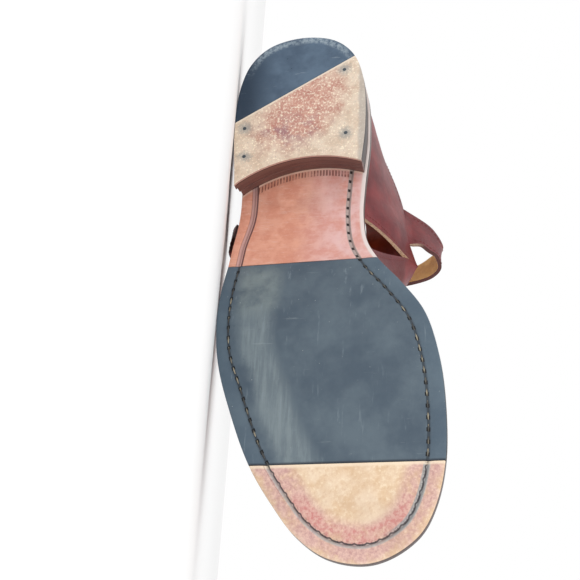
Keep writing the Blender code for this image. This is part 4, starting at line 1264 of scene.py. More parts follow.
give_wall(upper, UPPER_WALL)
LOOP_FRONT = 112 * MM
LOOP_FOOT = 95 * MM
for face in upper.data.polygons:
    if face.center.x < LOOP_FRONT and face.center.z > LOOP_FOOT:
        face.material_index = 0


def strap_lines(rows, lift, narrow=lambda row: 1.0):
    """Lines of points across a strap, lifted off the band and narrowed row by row."""
    sides = np.linspace(-1, 1, 9)
    return [[band.point(row, side * narrow(row), lift(row)) for side in sides] for row in rows]


def crease_line(sign):
    """Points along the crease, in the order of a strap's sides."""
    shares = np.linspace(CREASE_TO, CREASE_FROM, 9)
    return [last.rim(sign, share) + np.array((0.0, 0.0, FIT)) for share in shares]


def narrow_tip(row):
    start = KEEPER_ROW + KEEPER_HALF
    return 1 - TIP_TAPER * ease((row - start) / (TIP_ROW - start))


long_rows = list(np.linspace(0.25, TIP_ROW, 160))
long_strap = sheet("long_strap", [crease_line(-1)] + strap_lines(long_rows, strap_lift, narrow_tip))
stub_start = BAR_ROW + (BUCKLE_WIRE / 2 + FIT) / band.pace(BUCKLE_ROW)
stub_rows = list(np.linspace(stub_start, len(STRAP_ROWS) + 0.75, 40))
stub = sheet("buckle_stub", strap_lines(stub_rows, lambda row: 0.0) + [crease_line(1)])
for piece in (long_strap, stub):
    give_wall(piece, STRAP_THICKNESS)


# %% [markdown]
# The buckle is bent wire, so its frame and prong are curves with a round bevel, made into meshes.
# The keeper is a loop of leather round both straps.

# %% Buckle and keeper
def wire(name, points, radius, cyclic):
    """A round bar along points: a curve with a bevel, made a mesh."""
    clear_selection()
    bpy.ops.curve.primitive_nurbs_path_add()
    path = bpy.context.object
    path.name = name
    path.data.splines.clear()
    spline = path.data.splines.new("POLY")
    spline.points.add(len(points) - 1)
    for target, point in zip(spline.points, points):
        target.co = (*point, 1.0)
    spline.use_cyclic_u = cyclic
    path.data.bevel_depth = radius
    path.data.bevel_resolution = 4
    path.data.use_fill_caps = True
    clear_selection()
    path.select_set(True)
    bpy.context.view_layer.objects.active = path
    bpy.ops.object.convert(target="MESH")
    return bpy.context.object


radius = BUCKLE_WIRE / 2
front, back = band.edges(BUCKLE_ROW)
half_width = np.linalg.norm(back - front) / 2 + BUCKLE_SIDE_PLAY + radius
top_middle, along, across, outward = band.frame(BUCKLE_ROW)
upper_bar = top_middle + outward * (FIT + radius)
low_middle, _, _, low_outward = band.frame(BAR_ROW)
lower_bar = low_middle + low_outward * (radius - BAR_SINK)
centre = (upper_bar + lower_bar) / 2
down = lower_bar - upper_bar
half_length = np.linalg.norm(down) / 2
down /= np.linalg.norm(down)
across = across - down * np.dot(across, down)
across /= np.linalg.norm(across)
path = []
for quarter in range(4):
    sign_across = (1, -1, -1, 1)[quarter]
    sign_down = (1, 1, -1, -1)[quarter]
    hub = centre + across * sign_across * (half_width - BUCKLE_CORNER)
    hub = hub + down * sign_down * (half_length - BUCKLE_CORNER)
    for k in range(9):
        angle = math.pi / 2 * (quarter + k / 8)
        path.append(hub + (across * math.cos(angle) + down * math.sin(angle)) * BUCKLE_CORNER)
buckle = wire("buckle_ring", path, radius, True)
prong_start = BUCKLE_ROW + (BAR_ROW - BUCKLE_ROW) * 0.45
prong_path = []
for k in range(16):
    s = k / 15
    row = prong_start + (BUCKLE_ROW - 0.12 - prong_start) * s
    over = strap_lift(row) + 2 * FIT + PRONG_DIAMETER / 2 + (BUCKLE_WIRE + FIT) * ease((s - 0.25) / 0.4)
    prong_path.append(band.point(row, 0.0, over))
prong = wire("buckle_tongue", prong_path, PRONG_DIAMETER / 2, False)

inner_low, inner_high = -STRAP_THICKNESS - FIT, STRAP_THICKNESS + 2 * FIT
front, back = band.edges(KEEPER_ROW)
half = np.linalg.norm(back - front) / 2
inner_side = 1 + 2 * FIT / half
keeper_lines = []
for row in np.linspace(KEEPER_ROW - KEEPER_HALF, KEEPER_ROW + KEEPER_HALF, 7):
    route = [(s, inner_high) for s in np.linspace(-0.93, 0.93, 7)] + [(1, inner_high - 0.1 * MM)]
    route += [(1, z) for z in np.linspace(inner_high - 0.4 * MM, inner_low + 0.4 * MM, 4)]
    route += [(s, inner_low) for s in np.linspace(0.93, -0.93, 7)]
    route += [(-1, z) for z in np.linspace(inner_low + 0.4 * MM, inner_high - 0.4 * MM, 4)]
    route.append(route[0])
    keeper_lines.append([band.point(row, s * inner_side, z) for s, z in route])
keeper = sheet("leather_keeper", keeper_lines, flip=True)
use(keeper, "SOLIDIFY", thickness=KEEPER_THICKNESS, offset=1.0, use_even_offset=True)


# %% [markdown]
# The strips of the cage are woven on the real shoe: each cross strap passes over the runner
# beside it, and the T-bar lies over the strap ends. The wall already holds every strip at one
# level, so the strips that lie on top are modelled as sheets of their own that rise out of it.

# %% Strips that lie on top of the wall
def overlay(name, lines, thickness, flip=False):
    """A sheet that lies on the wall, with its lower face sunk into it."""
    strip = sheet(name, lines, flip=flip)
    use(strip, "SOLIDIFY", thickness=thickness, offset=-1.0, use_even_offset=True)
    edit(strip, "EDGE")
    pick(strip, lambda edge: edge.calc_face_angle(0.0) > 0.9, "EDGE")
    bpy.ops.mesh.bevel(offset=0.3 * MM, segments=2)
    close()
    return strip


woven_strips = []
for sign in (1, -1):
    for middle in strap_middles:
        lines = []
        for s in np.linspace(0.06, 0.94, 9):
            share = places[middle - 1] + (places[middle + 1] - places[middle - 1]) * s
            line = []
            for turn_here in np.linspace(0.30, 0.66, 19):
                swell = math.sin(math.pi * (turn_here - 0.30) / 0.36) ** 0.6
                lift = (WEAVE_RISE + 0.5 * MM) * swell - 0.35 * MM
                line.append(last.skin(sign, share, turn_here, lift))
            lines.append(line)
        woven_strips.append(overlay("woven", lines, 1.2 * MM, flip=sign > 0))
weave = join("woven_crossings", woven_strips)

BAR_RISE = 1.0 * MM
bar_lines = []
for share in np.linspace(THROAT - 0.004, places[-4], 70):
    ends = [last.rim(sign, share) for sign in (1, -1)]
    line = t_bar_line(ends[0], ends[1], T_BAR_CROWN + 0.2 * MM, 10)
    bar_lines.append([p + np.array((0, 0, BAR_RISE)) for p in line])
bar_strip = overlay("t_bar_strip", bar_lines, 1.4 * MM, flip=True)


# %% [markdown]
# Above its widest place a quarter turns in again, towards the ankle. Seen from below, its tan
# lining shows through the arch cut-out. This turned-in collar is a sheet that starts at the top
# line and closes over the foot, with a rolled binding along its edge.

# %% Turned-in collar, its binding, and the heel tab
COLLAR_REACH = {1: 13 * MM, -1: 26 * MM}
COLLAR_END = 0.51


def collar_point(sign, share, up):
    """A point of the turned-in collar, up being 0 at the top line and 1 at its edge."""
    reach = COLLAR_REACH[sign] * ease((share - 0.02) / 0.2) * (1 - ease((share - 0.34) / 0.18))
    inward = np.array((-0.12, -sign * 0.9, 0.85 - 0.32 * up))
    return last.skin(sign, share, 1.0) + inward * reach * up


collars = []
for sign in (1, -1):
    lines = [[collar_point(sign, share, up) for up in np.linspace(0, 1, 11)]
             for share in np.linspace(0.02, COLLAR_END, 84)]
    flap = sheet("flap", lines, flip=sign > 0)
    give_wall(flap, 1.6 * MM)
    collars.append(flap)
collar_sheets = join("turned_in_collar", collars)
shares = np.linspace(COLLAR_END, 0.0, 110)
collar_path = [collar_point(-1, share, 1.0) for share in shares]
collar_path += [collar_point(1, share, 1.0) for share in shares[::-1][1:]]
collar = wire("collar_binding", collar_path, 0.95 * MM, False)

tab_lines = []
for turn_here in np.linspace(0.06, 0.985, 26):
    half_width = 7.5 + 2.5 * (1 - turn_here)
    line = []
    for k in range(-6, 7):
        share = 0.0135 * (abs(k) / 6) ** 1.9 * half_width / 9
        line.append(last.skin(1 if k >= 0 else -1, share, turn_here, 0.8 * MM))
    tab_lines.append(line)
heel_tab = overlay("heel_tab", tab_lines, 1.3 * MM)

# %% [markdown]
# Stitches are thread that dips into the leather at both ends, so each one is a small flattened
# bead, modelled once and copied along a line. The sole's stitches are long and lie in the
# channel; those of the upper are fine.

# %% Stitches
def bead(name, length, width, height):
    """One stitch along x."""
    clear_selection()
    bpy.ops.mesh.primitive_uv_sphere_add(segments=8, ring_count=6, radius=0.5)
    thing = bpy.context.object
    thing.name = name
    edit(thing)
    bpy.ops.mesh.select_all(action="SELECT")
    bpy.ops.transform.resize(value=(width, height, length))
    close()
    return thing


def stitch_line(name, points, outward, pitch, length, width, height, skip=lambda k: False):
    """Copies of one stitch at an even pitch along a line of points, joined to one piece."""
    points = np.asarray(points, dtype=float)
    outward = np.asarray(outward, dtype=float)
    lengths = np.concatenate(([0.0], np.cumsum(np.linalg.norm(np.diff(points, axis=0), axis=1))))
    count = int(lengths[-1] / pitch)
    model = bead(name, length, width, height)
    copies = []
    for k in range(count):
        if skip(k):
            continue
        spots = (k + 0.5) * pitch + np.array((-0.3, 0.3)) * pitch
        ends = [np.array([np.interp(spot, lengths, points[:, c]) for c in range(3)]) for spot in spots]
        up = Vector([np.interp(spots.mean(), lengths, outward[:, c]) for c in range(3)]).normalized()
        ahead = Vector(ends[1] - ends[0]).normalized()
        side = up.cross(ahead).normalized()
        up = ahead.cross(side)
        copy = model.copy()
        copy.data = model.data.copy()
        middle_of_bead = Vector((ends[0] + ends[1]) / 2)
        copy.matrix_world = (Matrix.Translation(middle_of_bead)
                             @ Matrix((side, up, ahead)).transposed().to_4x4())
        bpy.context.scene.collection.objects.link(copy)
        copies.append(copy)
    bpy.data.objects.remove(model, do_unlink=True)
    joined = join(name, copies)
    clear_selection()
    joined.select_set(True)
    bpy.ops.object.transform_apply(location=True, rotation=True, scale=True)
    return joined


SOLE_PITCH = 5.5 * MM
seam_x = (HEEL_LENGTH - 3 * MM, SOLE_LENGTH)
SEAM_START = 84 * MM
start_index = min(range(len(channel)),
                  key=lambda k: abs(channel[k][0] - SEAM_START) + (0 if channel[k][1] < 0 else 9))
order = [channel[(start_index + k) % len(channel)] for k in range(len(channel))]
seam = [p for p in order if p[0] > 84 * MM]
seam_points = [(x, y, sole_bottom(x) + 0.32 * MM) for x, y in seam]
down_way = [(0, 0, -1)] * len(seam)


def in_rubber(k):
    """Whether a stitch of the sole lies outside the rubber, where its channel is closed."""
    spot = min(int((k + 0.5) * SOLE_PITCH / EDGE_PITCH), len(seam) - 1)
    return not (RUBBER_START + 1 * MM < seam[spot][0] < RUBBER_END - 1 * MM)


sole_stitches = stitch_line("sole_stitches", seam_points, down_way, SOLE_PITCH,
                            3.8 * MM, 0.7 * MM, 0.7 * MM, in_rubber)


def strap_seam(side, start, end, lift, count=160):
    """A line along a strap, and the way out of it."""
    rows = np.linspace(start, end, count)
    points = [band.point(row, side * narrow_tip(row), lift(row) + 0.06 * MM) for row in rows]
    return points, [band.frame(row)[3] for row in rows]


fine_rows = []
for side in (-0.78, 0.78):
    for start, end in ((0.35, T_BAR_ROW - 0.95), (T_BAR_ROW + 0.95, BUCKLE_ROW - 0.4),
                       (BAR_ROW + 0.25, KEEPER_ROW - 0.4), (KEEPER_ROW + 0.35, TIP_ROW - 0.1)):
        points, ways = strap_seam(side, start, end, strap_lift)
        fine_rows.append((points, ways))
for sign in (1, -1):
    for turn_here, first_share, last_share in ((0.93, 0.004, CREASE_FROM - 0.006),):
        shares = np.linspace(first_share, last_share, 80)
        fine_rows.append(([last.skin(sign, share, turn_here, 0.06 * MM) for share in shares],
                          [last.outer(sign, share, turn_here) for share in shares]))
    shares = np.linspace(0.14, CREASE_TO - 0.01, 70)
    fine_rows.append(([collar_point(sign, share, 0.84) for share in shares],
                      [(0, sign * 0.5, 0.86) for _ in shares]))
    for share_near, shift in ((ARCH_FROM, -0.011), (ARCH_TO, 0.012)):
        turns = np.linspace(0.06, tip_turn * 0.97, 60)
        shares = [beside_arch(share_near, t, tip_turn) + shift for t in turns]
        fine_rows.append(([last.skin(sign, share, t, 0.06 * MM) for share, t in zip(shares, turns)],
                          [last.outer(sign, share, t) for share, t in zip(shares, turns)]))
    for inset in (0.10,):
        shares = np.linspace(THROAT + 0.002, places[-5], 90)
        line = []
        for share in shares:
            ends = [last.rim(s, share) for s in (sign, -sign)]
            crown = (T_BAR_CROWN + 0.2 * MM) * 4 * inset * (1 - inset)
            rise = np.array((0, 0, BAR_RISE + crown + 0.06 * MM))
            line.append(ends[0] + (ends[1] - ends[0]) * inset + rise)
        fine_rows.append((line, [(0, 0, 1)] * len(line)))
    cap_share = places[-len(CAP_STATIONS) - 1] + 0.012
    for extra in (0.0, 0.010):
        turns = np.linspace(0.05, 0.97, 70)
        fine_rows.append(([last.skin(sign, cap_share + extra, t, 0.06 * MM) for t in turns],
                          [last.outer(sign, cap_share + extra, t) for t in turns]))
FINE_PITCH = 2.6 * MM
seams = [stitch_line("row", points, ways, FINE_PITCH, 1.9 * MM, 0.5 * MM, 0.42 * MM)
         for points, ways in fine_rows]
upper_stitches = join("upper_stitches", seams)
print("stitches placed")

# %% [markdown]
# Nail heads end level with the tread, so they are short beveled cylinders set into it. The strap's
# holes are too small to cut: a thin dark disc on the strap is painted shade that stands for a hole.

# %% Nails in the heel, and painted shade for the holes in the strap
NAILS = ((56.6, 29.1), (24.6, -23.1), (65.1, -24.5), (74.2, 28.3))
heads = []
for x, y in NAILS:
    clear_selection()
    bpy.ops.mesh.primitive_cylinder_add(vertices=20, radius=1.15 * MM, depth=1.2 * MM,
                                        location=(x * MM, y * MM, 0.54 * MM))
    head = bpy.context.object
    edit(head, "EDGE")
    pick(head, is_rim, "EDGE")
    bpy.ops.mesh.bevel(offset=0.3 * MM, segments=2)
    close()
    bpy.ops.object.transform_apply(location=True, rotation=True, scale=True)
    heads.append(head)
nails = join("heel_nails", heads)

# Thin discs that carry the painted shade of the strap's holes.
holes = []
for k in range(4):
    row = T_BAR_ROW + 1.25 + k * 0.36
    centre_point = Vector(band.point(row, 0.0, 0.0))
    way = Vector(band.frame(row)[3])
    clear_selection()
    bpy.ops.mesh.primitive_cylinder_add(vertices=16, radius=0.95 * MM, depth=0.2 * MM)
    hole = bpy.context.object
    hole.matrix_world = Matrix.Translation(centre_point) @ way.to_track_quat("Z", "Y").to_matrix().to_4x4()
    clear_selection()
    hole.select_set(True)
    bpy.ops.object.transform_apply(location=True, rotation=True, scale=True)
    holes.append(hole)
strap_hole_shade = join("strap_hole_shade", holes)

# %% [markdown]
# Burgundy upper leather: smooth, waxed and softly shiny, darker in the hollows, with pale pink patches
# that are partly flex wear and partly painted highlight. Its grain is a fine network of pores, its gloss
# comes from a thin coat.

# %% Burgundy leather
burgundy = Finish("burgundy_leather", roughness=0.4, coat=0.05, specular=0.25)
tone = burgundy.noise(22, 4, 0.6)
flex_wear_and_sheen = burgundy.noise(5, 5, 0.65)
pores = burgundy.cells(0.75)
base = burgundy.mix(tone.rise(0.35, 0.68), rgb(92, 26, 32), rgb(126, 46, 48))
# Pale pink patches: partly flex wear, partly a painted highlight.
base = burgundy.mix(flex_wear_and_sheen.rise(0.56, 0.8) * 0.5, base, rgb(158, 80, 84))
base = burgundy.mix(pores.rise(0.22, 0.05) * 0.35, base, rgb(70, 20, 24))
burgundy.colour(base)
burgundy.rough(0.34 + flex_wear_and_sheen * 0.24)
wrinkles = burgundy.noise(3.2, 4, 0.6, at=burgundy.stretched(1.0, 0.45, 0.45))
burgundy.relief(pores.rise(0.0, 0.5) * 0.5 + wrinkles, 0.12)

# %% [markdown]
# The lining is golden tan with soft stains. The cut edges are dyed dark, except by the arch
# cut-out, where the fibres are bare and pale.

# %% Tan lining, and the cut edges of the leather
lining = Finish("tan_lining", roughness=0.62)
stain = lining.noise(16, 4, 0.6)
nap = lining.noise(1.2, 4, 0.6)
base = lining.mix(stain.rise(0.35, 0.7), rgb(206, 150, 72), rgb(238, 192, 112))
base = lining.mix(nap.rise(0.5, 0.75) * 0.4, base, rgb(232, 196, 130))
lining.colour(base)
lining.relief(nap, 0.08)
raw = Finish("cut_edge", roughness=0.6)
fibre = raw.noise(0.8, 4, 0.7)
at_arch = raw.x.band(112, 24, 6) * raw.z.rise(72, 64)
dark_edge_tone = raw.mix(fibre, rgb(58, 26, 26), rgb(104, 52, 46))
raw.colour(raw.mix(at_arch * fibre.rise(0.25, 0.55), dark_edge_tone, rgb(216, 186, 158)))
raw.relief(fibre, 0.1)

# %% [markdown]
# The sole leather is worn by walking. The waist keeps its orange tan on the outer side and
# turns pink on the inner side. The toe is pale, with a stain that follows the stitching.

# %% Sole leather
leather = Finish("sole_leather", roughness=0.66, specular=0.35)
edge, line = leather.attribute("edge_mm"), leather.attribute("channel_mm")
along, up = leather.attribute("along_mm"), leather.attribute("up_mm")
x, y = leather.x, leather.y
mottle = leather.noise(9, 5, 0.65)
speck = leather.noise(1.5, 4, 0.7)
grain = leather.noise(0.7, 3, 0.7)
fibres = leather.noise(1.6, 5, 0.75, at=leather.stretched(1.0, 0.22, 1.0, 0.35))
outer_tone = leather.mix(mottle.rise(0.35, 0.65), rgb(216, 146, 122), rgb(230, 168, 144))
inner_tone = leather.mix(mottle.rise(0.35, 0.65), rgb(220, 158, 146), rgb(232, 190, 186))
waist = leather.mix((y + mottle * 24 - 12).rise(6, -18), outer_tone, inner_tone)
waist = leather.mix(fibres.rise(0.52, 0.72) * 0.45, waist, rgb(240, 205, 190))
waist = leather.mix(fibres.rise(0.46, 0.28) * 0.35, waist, rgb(196, 112, 86))
waist = leather.mix(speck.rise(0.62, 0.78) * 0.5, waist, rgb(246, 222, 208))
from_breast = 65 - ((x - 139.9) * (x - 139.9) + (y + 6.94) * (y + 6.94)) ** 0.5
ticks = from_breast.band(2.6, 1.5, 0.5) * y.wave(1.62).band(0.5, 0.2, 0.12)
ticks = ticks * (0.35 + leather.noise(3, 2).rise(0.3, 0.6) * 0.65) * line.rise(-1.0, 0.5)
waist = leather.mix(ticks * 0.75, waist, rgb(122, 62, 50))
waist = leather.mix(from_breast.rise(1.4, 0.2) * 0.8, waist, rgb(240, 205, 185))
lateral_side = y.rise(-4, 2)
lip = line.band(-0.6, 1.2, 0.5) * lateral_side
waist = leather.mix(lip * 0.75, waist, rgb(196, 158, 156))
waist = leather.mix(line.band(0.95, 0.28, 0.25) * lateral_side, waist, rgb(104, 72, 70))
strip = line.band(-0.1, 1.0, 0.4) * (1 - lateral_side)
waist = leather.mix(strip * 0.85, waist, leather.mix(speck, rgb(126, 116, 112), rgb(190, 180, 174)))
hole = along.wave(5.5).band(0.5, 0.12, 0.06) * line.band(0.2, 0.45, 0.25) * (1 - lateral_side)
waist = leather.mix(hole, waist, rgb(46, 38, 38))
# Painted highlight: a near-white line along the rim of the inner waist, where its bevel catches the light.
painted_rim_highlight = edge.rise(2.4, 1.3) * (1 - lateral_side)
waist = leather.mix(painted_rim_highlight * 0.9, waist, rgb(232, 222, 218))
toe_base = leather.mix(mottle.rise(0.35, 0.65), rgb(224, 192, 156), rgb(238, 214, 186))
toe = leather.mix(speck.rise(0.5, 0.68) * 0.6, toe_base, rgb(248, 230, 204))
toe = leather.mix(speck.rise(0.46, 0.3) * 0.4, toe, rgb(206, 166, 132))
stain = (line + mottle * 9 - 4.5).band(0.5, 5.0, 5.5) * mottle.rise(0.2, 0.55)
stain_tone = leather.mix(speck.rise(0.35, 0.65), rgb(186, 134, 140), rgb(222, 180, 172))
toe = leather.mix(stain * 0.75, toe, stain_tone)
red_band = line.band(3.2, 1.8, 3.0) * (x + mottle * 20).rise(256, 274) * mottle.rise(0.3, 0.62)
toe = leather.mix(red_band * (0.3 + speck.rise(0.55, 0.4) * 0.4), toe, rgb(208, 122, 116))
medial_toe = y.rise(-42, -52)
grey_tone = leather.mix(speck, rgb(140, 146, 148), rgb(196, 200, 198))
toe = leather.mix(line.band(-0.9, 0.5, 0.6) * (0.25 + speck * 0.8), toe, grey_tone)
dark_grey = leather.mix(speck, rgb(120, 128, 132), rgb(176, 182, 182))
toe = leather.mix(line.band(0.0, 1.1, 0.4) * medial_toe * 0.8, toe, dark_grey)
wobble = line + (along.wave(5.5).band(0.5, 0.25, 0.25) - 0.5) * 0.4
toe = leather.mix(wobble.band(0.1, 0.2, 0.28) * 0.9, toe, rgb(56, 54, 60))
toe = leather.mix(x.rise(241.6, 240.4) * 0.8, toe, rgb(246, 226, 200))
tread = leather.mix(x.rise(160, 200), waist, toe)
grime = leather.noise(30, 3, 0.6)
tread = leather.mix(grime.rise(0.5, 0.75) * 0.18, tread, rgb(150, 120, 110))
edge_tone = leather.mix(leather.noise(2.5, 4), rgb(46, 30, 28), rgb(78, 50, 44))
leather.colour(leather.mix(up.rise(0.35, 0.8), tread, edge_tone))
leather.rough(0.72 - up.rise(0.35, 0.8) * 0.3 - grime * 0.1)
leather.relief(fibres * 0.5 + grain * 0.6 + speck * 0.4 - ticks * 2.0 - hole * 3.0 + lip * 2.0, 0.14)

# %% [markdown]
# The rubber is slate blue, dusty and finely scratched. Walking has polished a pale streak
# along its outer side, and the edge beside the stitching is a little bluer.

# %% Rubber of the half sole
rubber = Finish("slate_rubber", roughness=0.7, specular=0.35)
edge, line = rubber.attribute("edge_mm"), rubber.attribute("channel_mm")
along, up = rubber.attribute("along_mm"), rubber.attribute("up_mm")
x, y = rubber.x, rubber.y
cloud = rubber.noise(26, 5, 0.62)
dust = rubber.noise(2.2, 5, 0.7)
scratch = rubber.noise(2.4, 4, 0.7, at=rubber.stretched(0.10, 1.0, 1.0, 0.25))
cross_scratch = rubber.noise(2.0, 4, 0.7, at=rubber.stretched(1.0, 0.09, 1.0, -0.2))
base = rubber.mix(cloud.rise(0.32, 0.7), rgb(76, 90, 103), rgb(97, 111, 121))
base = rubber.mix(line.rise(0.4, -0.8) * 0.3, base, rgb(92, 112, 128))
streak = (line + cloud * 12 - 6).band(13, 3, 8) * y.rise(-24, -6) * x.rise(150, 175)
base = rubber.mix(streak * (0.2 + scratch.rise(0.4, 0.62) * 0.25 + dust * 0.2), base, rgb(146, 158, 160))
heel_streak = ((x - 150) / 16).band(0, 0.4, 0.8) * y.band(17, 6, 8)
base = rubber.mix(heel_streak * cloud.rise(0.3, 0.6) * 0.5, base, rgb(150, 162, 158))
base = rubber.mix(scratch.rise(0.6, 0.72) * 0.35, base, rgb(138, 152, 160))
base = rubber.mix(cross_scratch.rise(0.64, 0.74) * 0.4, base, rgb(150, 162, 166))
base = rubber.mix(dust.rise(0.66, 0.76) * 0.5, base, rgb(168, 178, 178))
base = rubber.mix(dust.rise(0.36, 0.26) * 0.4, base, rgb(58, 72, 86))
specks = (rubber.cells(4.2) + cloud * 0.12).rise(0.13, 0.08) * rubber.noise(5, 2).rise(0.45, 0.65)
base = rubber.mix(specks * 0.8, base, rgb(184, 190, 188))
gap_tone = along.wave(5.5).band(0.5, 0.30, 0.12)
base = rubber.mix(line.band(0.0, 0.4, 0.3) * (0.3 + gap_tone * 0.4), base, rgb(46, 52, 58))
hole = along.wave(5.5).band(0.0, 0.14, 0.06).most(along.wave(5.5).band(1.0, 0.14, 0.06))
base = rubber.mix(hole * line.band(0.0, 0.7, 0.3), base, rgb(18, 20, 24))
base = rubber.mix(x.rise(238.2, 239.2) * 0.8, base, rgb(44, 50, 58))
side_tone = rubber.mix(dust, rgb(34, 36, 40), rgb(58, 60, 64))
rubber.colour(rubber.mix(up.rise(0.35, 0.8), base, side_tone))
rubber.rough(0.62 + dust * 0.2)
rubber.relief(dust * 0.5 + scratch * 0.4 - specks + cross_scratch * 0.3, 0.1)

# %% [markdown]
# The heel's rubber is the same slate blue, darker on its outer side, with a dusty rim where it
# meets the ground first.

# %% Rubber of the heel
heel_rubber = Finish("slate_rubber_heel", roughness=0.7, specular=0.35)
edge = heel_rubber.attribute("edge_mm")
x, y, z = heel_rubber.x, heel_rubber.y, heel_rubber.z
cloud = heel_rubber.noise(18, 5, 0.62)
dust = heel_rubber.noise(1.9, 5, 0.7)
scratch = heel_rubber.noise(1.8, 4, 0.7, at=heel_rubber.stretched(1.0, 0.12, 1.0, 0.5))
base = heel_rubber.mix(cloud.rise(0.32, 0.7), rgb(70, 88, 108), rgb(92, 112, 132))
base = heel_rubber.mix((y + cloud * 8).rise(16, 34), base, rgb(46, 62, 80))
rim_wear = (edge + cloud * 5 - 2.5).band(2.4, 0.7, 2.0) * (x + cloud * 24 - 12).rise(26, 6)
base = heel_rubber.mix(rim_wear * dust.rise(0.36, 0.6) * cloud.rise(0.28, 0.55), base, rgb(150, 164, 174))
base = heel_rubber.mix(scratch.rise(0.62, 0.74) * 0.5, base, rgb(150, 164, 174))
base = heel_rubber.mix(dust.rise(0.68, 0.78) * 0.5, base, rgb(170, 180, 184))
base = heel_rubber.mix(dust.rise(0.36, 0.26) * 0.4, base, rgb(52, 68, 86))
specks = heel_rubber.cells(7).rise(0.07, 0.04)
base = heel_rubber.mix(specks * 0.7, base, rgb(40, 60, 66))
side_tone = heel_rubber.mix(dust, rgb(30, 32, 36), rgb(52, 54, 60))
heel_rubber.colour(heel_rubber.mix(z.rise(0.25, 0.6), base, side_tone))
heel_rubber.rough(0.58 + dust * 0.24)
heel_rubber.relief(dust * 0.6 + scratch * 0.5, 0.1)

# %% [markdown]
# The leather of the top lift is cream at its rim, red and purple where it has been trodden, and
# speckled all over where the surface has flaked. Four nails have stained it grey.

# %% Leather of the top lift
pale = Finish("pale_leather", roughness=0.72, specular=0.3)
edge = pale.attribute("edge_mm")
x, y, z = pale.x, pale.y, pale.z
mottle = pale.noise(8, 5, 0.65)
speck = pale.noise(1.3, 4, 0.72)
flake = pale.cells(2.0)
base = pale.mix(mottle.rise(0.35, 0.65), rgb(212, 194, 172), rgb(232, 218, 198))
base = pale.mix(speck.rise(0.40, 0.62) * 0.5, base, rgb(206, 164, 138))
down_slant = (x - 47) * 0.78 + (y + 1) * 0.62
off_slant = (y + 1) * 0.78 - (x - 47) * 0.62
patch = (down_slant * down_slant) / 760 + (off_slant * off_slant) / 330
trodden = (patch + mottle * 2.6 - 1.3).rise(1.7, 0.1)
red_tone = pale.mix(mottle.rise(0.3, 0.7), rgb(184, 114, 106), rgb(208, 146, 130))
base = pale.mix(trodden * speck.rise(0.66, 0.44) * 0.85, base, red_tone)
purple = trodden * pale.noise(9, 3, 0.6, at=pale.stretched(1, 1, 1, 0.8)).rise(0.42, 0.62) * x.rise(46, 60)
base = pale.mix(purple * 0.6, base, rgb(150, 114, 126))
base = pale.mix(speck.rise(0.54, 0.64) * 0.85, base, rgb(250, 240, 222))
base = pale.mix(flake.rise(0.34, 0.12) * mottle.rise(0.35, 0.6) * 0.85, base, rgb(252, 240, 216))
base = pale.mix(speck.rise(0.44, 0.32) * 0.55, base, rgb(160, 130, 118))
joint = (x - 34.4) * 0.866 - (y - 3.47) * 0.5
base = pale.mix(joint.rise(1.6, 0.7) * 0.85, base, rgb(236, 222, 204))
for nail_x, nail_y in NAILS:
    reach = ((x - nail_x) * (x - nail_x) + (y - nail_y) * (y - nail_y)) ** 0.5
    base = pale.mix((reach + mottle * 6 + speck * 5 - 5.5).rise(5.4, 0.4) * 0.75, base, rgb(150, 152, 150))
base = pale.mix((y - mottle * 2).rise(-31.2, -33.0) * 0.6, base, rgb(168, 164, 160))
from_breast = 65 - ((x - 142.3) * (x - 142.3) + (y + 6.94) * (y + 6.94)) ** 0.5
breast_face = from_breast.rise(-1.2, -0.4)
layer_tone = pale.mix(z.band(1.0, 0.35, 0.15), rgb(112, 78, 70), rgb(192, 150, 138))
layer_tone = pale.mix(z.band(1.75, 0.16, 0.12), layer_tone, rgb(38, 28, 28))
edge_tone = pale.mix(speck, rgb(44, 40, 42), rgb(74, 66, 64))
side_tone = pale.mix(breast_face, edge_tone, layer_tone)
pale.colour(pale.mix(z.rise(0.22, 0.5), base, side_tone))
pale.rough(0.74 - z.rise(0.22, 0.5) * 0.25)
pale.relief(speck * 0.9 + flake * 0.3, 0.16)

# %% [markdown]
# Stacked leather shows its layers, so its noise is stretched flat. Thread, steel and brass are
# small on the shoe, and need little more than the right tone and roughness.

# %% Heel stack, thread, steel and brass
stack = Finish("stacked_leather", roughness=0.42, coat=0.1)
layers = stack.noise(1.0, 4, 0.7, at=stack.stretched(0.06, 0.06, 1.6))
x, y, z = stack.x, stack.y, stack.z
from_breast = 65 - ((x - 141) * (x - 141) + (y + 6.94) * (y + 6.94)) ** 0.5
breast_face = from_breast.rise(-2.6, -1.6)
side_tone = stack.mix(layers, rgb(38, 30, 30), rgb(70, 50, 44))
breast_tone = stack.mix(layers.rise(0.3, 0.7), rgb(84, 54, 50), rgb(118, 80, 72))
stack.colour(stack.mix(breast_face, side_tone, breast_tone))
stack.rough(0.36 + layers * 0.3)
stack.relief(layers, 0.15)

thread = Finish("sole_thread", roughness=0.8)
twist = thread.noise(0.6, 3, 0.7)
old = thread.noise(7, 2, 0.6)
thread.colour(thread.mix(old.rise(0.46, 0.6), thread.mix(twist, rgb(52, 54, 56), rgb(88, 86, 80)),
                         thread.mix(twist, rgb(128, 120, 104), rgb(186, 176, 152))))
thread.relief(twist, 0.15)

fine_thread = Finish("upper_thread", roughness=0.7)
twist = fine_thread.noise(0.4, 3, 0.7)
fine_thread.colour(fine_thread.mix(twist, rgb(84, 26, 30), rgb(140, 72, 66)))
fine_thread.relief(twist, 0.08)

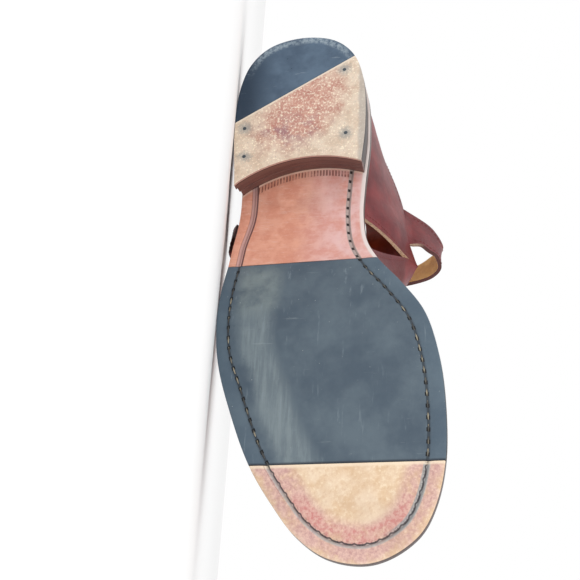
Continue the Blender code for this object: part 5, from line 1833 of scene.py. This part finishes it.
steel = Finish("nail_steel", roughness=0.5, metallic=0.7)
rust = steel.noise(0.8, 3, 0.7)
steel.colour(steel.mix(rust, rgb(52, 60, 68), rgb(96, 104, 110)))
steel.relief(rust, 0.1)

brass = Finish("brass", roughness=0.28, metallic=1.0)
tarnish = brass.noise(2.4, 4, 0.65)
brass.colour(brass.mix(tarnish.rise(0.4, 0.7), rgb(214, 178, 102), rgb(166, 126, 66)))
brass.rough(0.2 + tarnish * 0.28)
brass.relief(brass.noise(0.8, 3, 0.6), 0.03)

# Painted shade: near-black discs stand for the shadowed inside of the strap's holes.
hollow = Finish("painted_hole_shade", roughness=0.9)
hollow.colour(hollow.mix(hollow.noise(0.8), rgb(18, 10, 10), rgb(40, 22, 20)))

# %% [markdown]
# The pieces were modelled standing. Here each is laid over on the shoe's outer side, put in place of
# the imported nodes that it replaces, which are hidden, and given its finishes in the order outside,
# lining, cut edge.

# %% Lay every piece over and dress it
place_piece(leather_sole, ["outsole"], "sole_leather", leather)
place_piece(rubber_sole, ["forefoot_rubber"], "slate_rubber", rubber)
for k, piece in enumerate(heel_pieces):
    place_piece(piece, [f"heel_lift_{k + 1}"], "stacked_leather", stack)
place_piece(top_leather, ["top_lift_leather"], "pale_leather", pale)
place_piece(top_rubber, ["top_lift_rubber"], "slate_rubber", heel_rubber)
place_piece(insole, ["insole"], "tan_lining", lining)
place_piece(upper, ["upper"], "burgundy_leather", burgundy, lining, raw)
place_piece(long_strap, ["ankle_strap"], "burgundy_leather", burgundy, lining, raw)
place_piece(stub, ["buckle_strap"], "burgundy_leather", burgundy, lining, raw)
place_piece(keeper, ["strap_keeper"], "burgundy_leather", burgundy)
place_piece(buckle, ["buckle_frame"], "brass", brass)
place_piece(prong, ["buckle_prong"], "brass", brass)
for piece in (weave, bar_strip, collar, heel_tab):
    place_piece(piece, [], "burgundy_leather", burgundy)
place_piece(collar_sheets, [], "burgundy_leather", burgundy, lining, raw)
place_piece(sole_stitches, [], "sole_leather", thread)
place_piece(upper_stitches, [], "burgundy_leather", fine_thread)
place_piece(nails, [], "brass", steel)
place_piece(strap_hole_shade, [], "burgundy_leather", hollow)
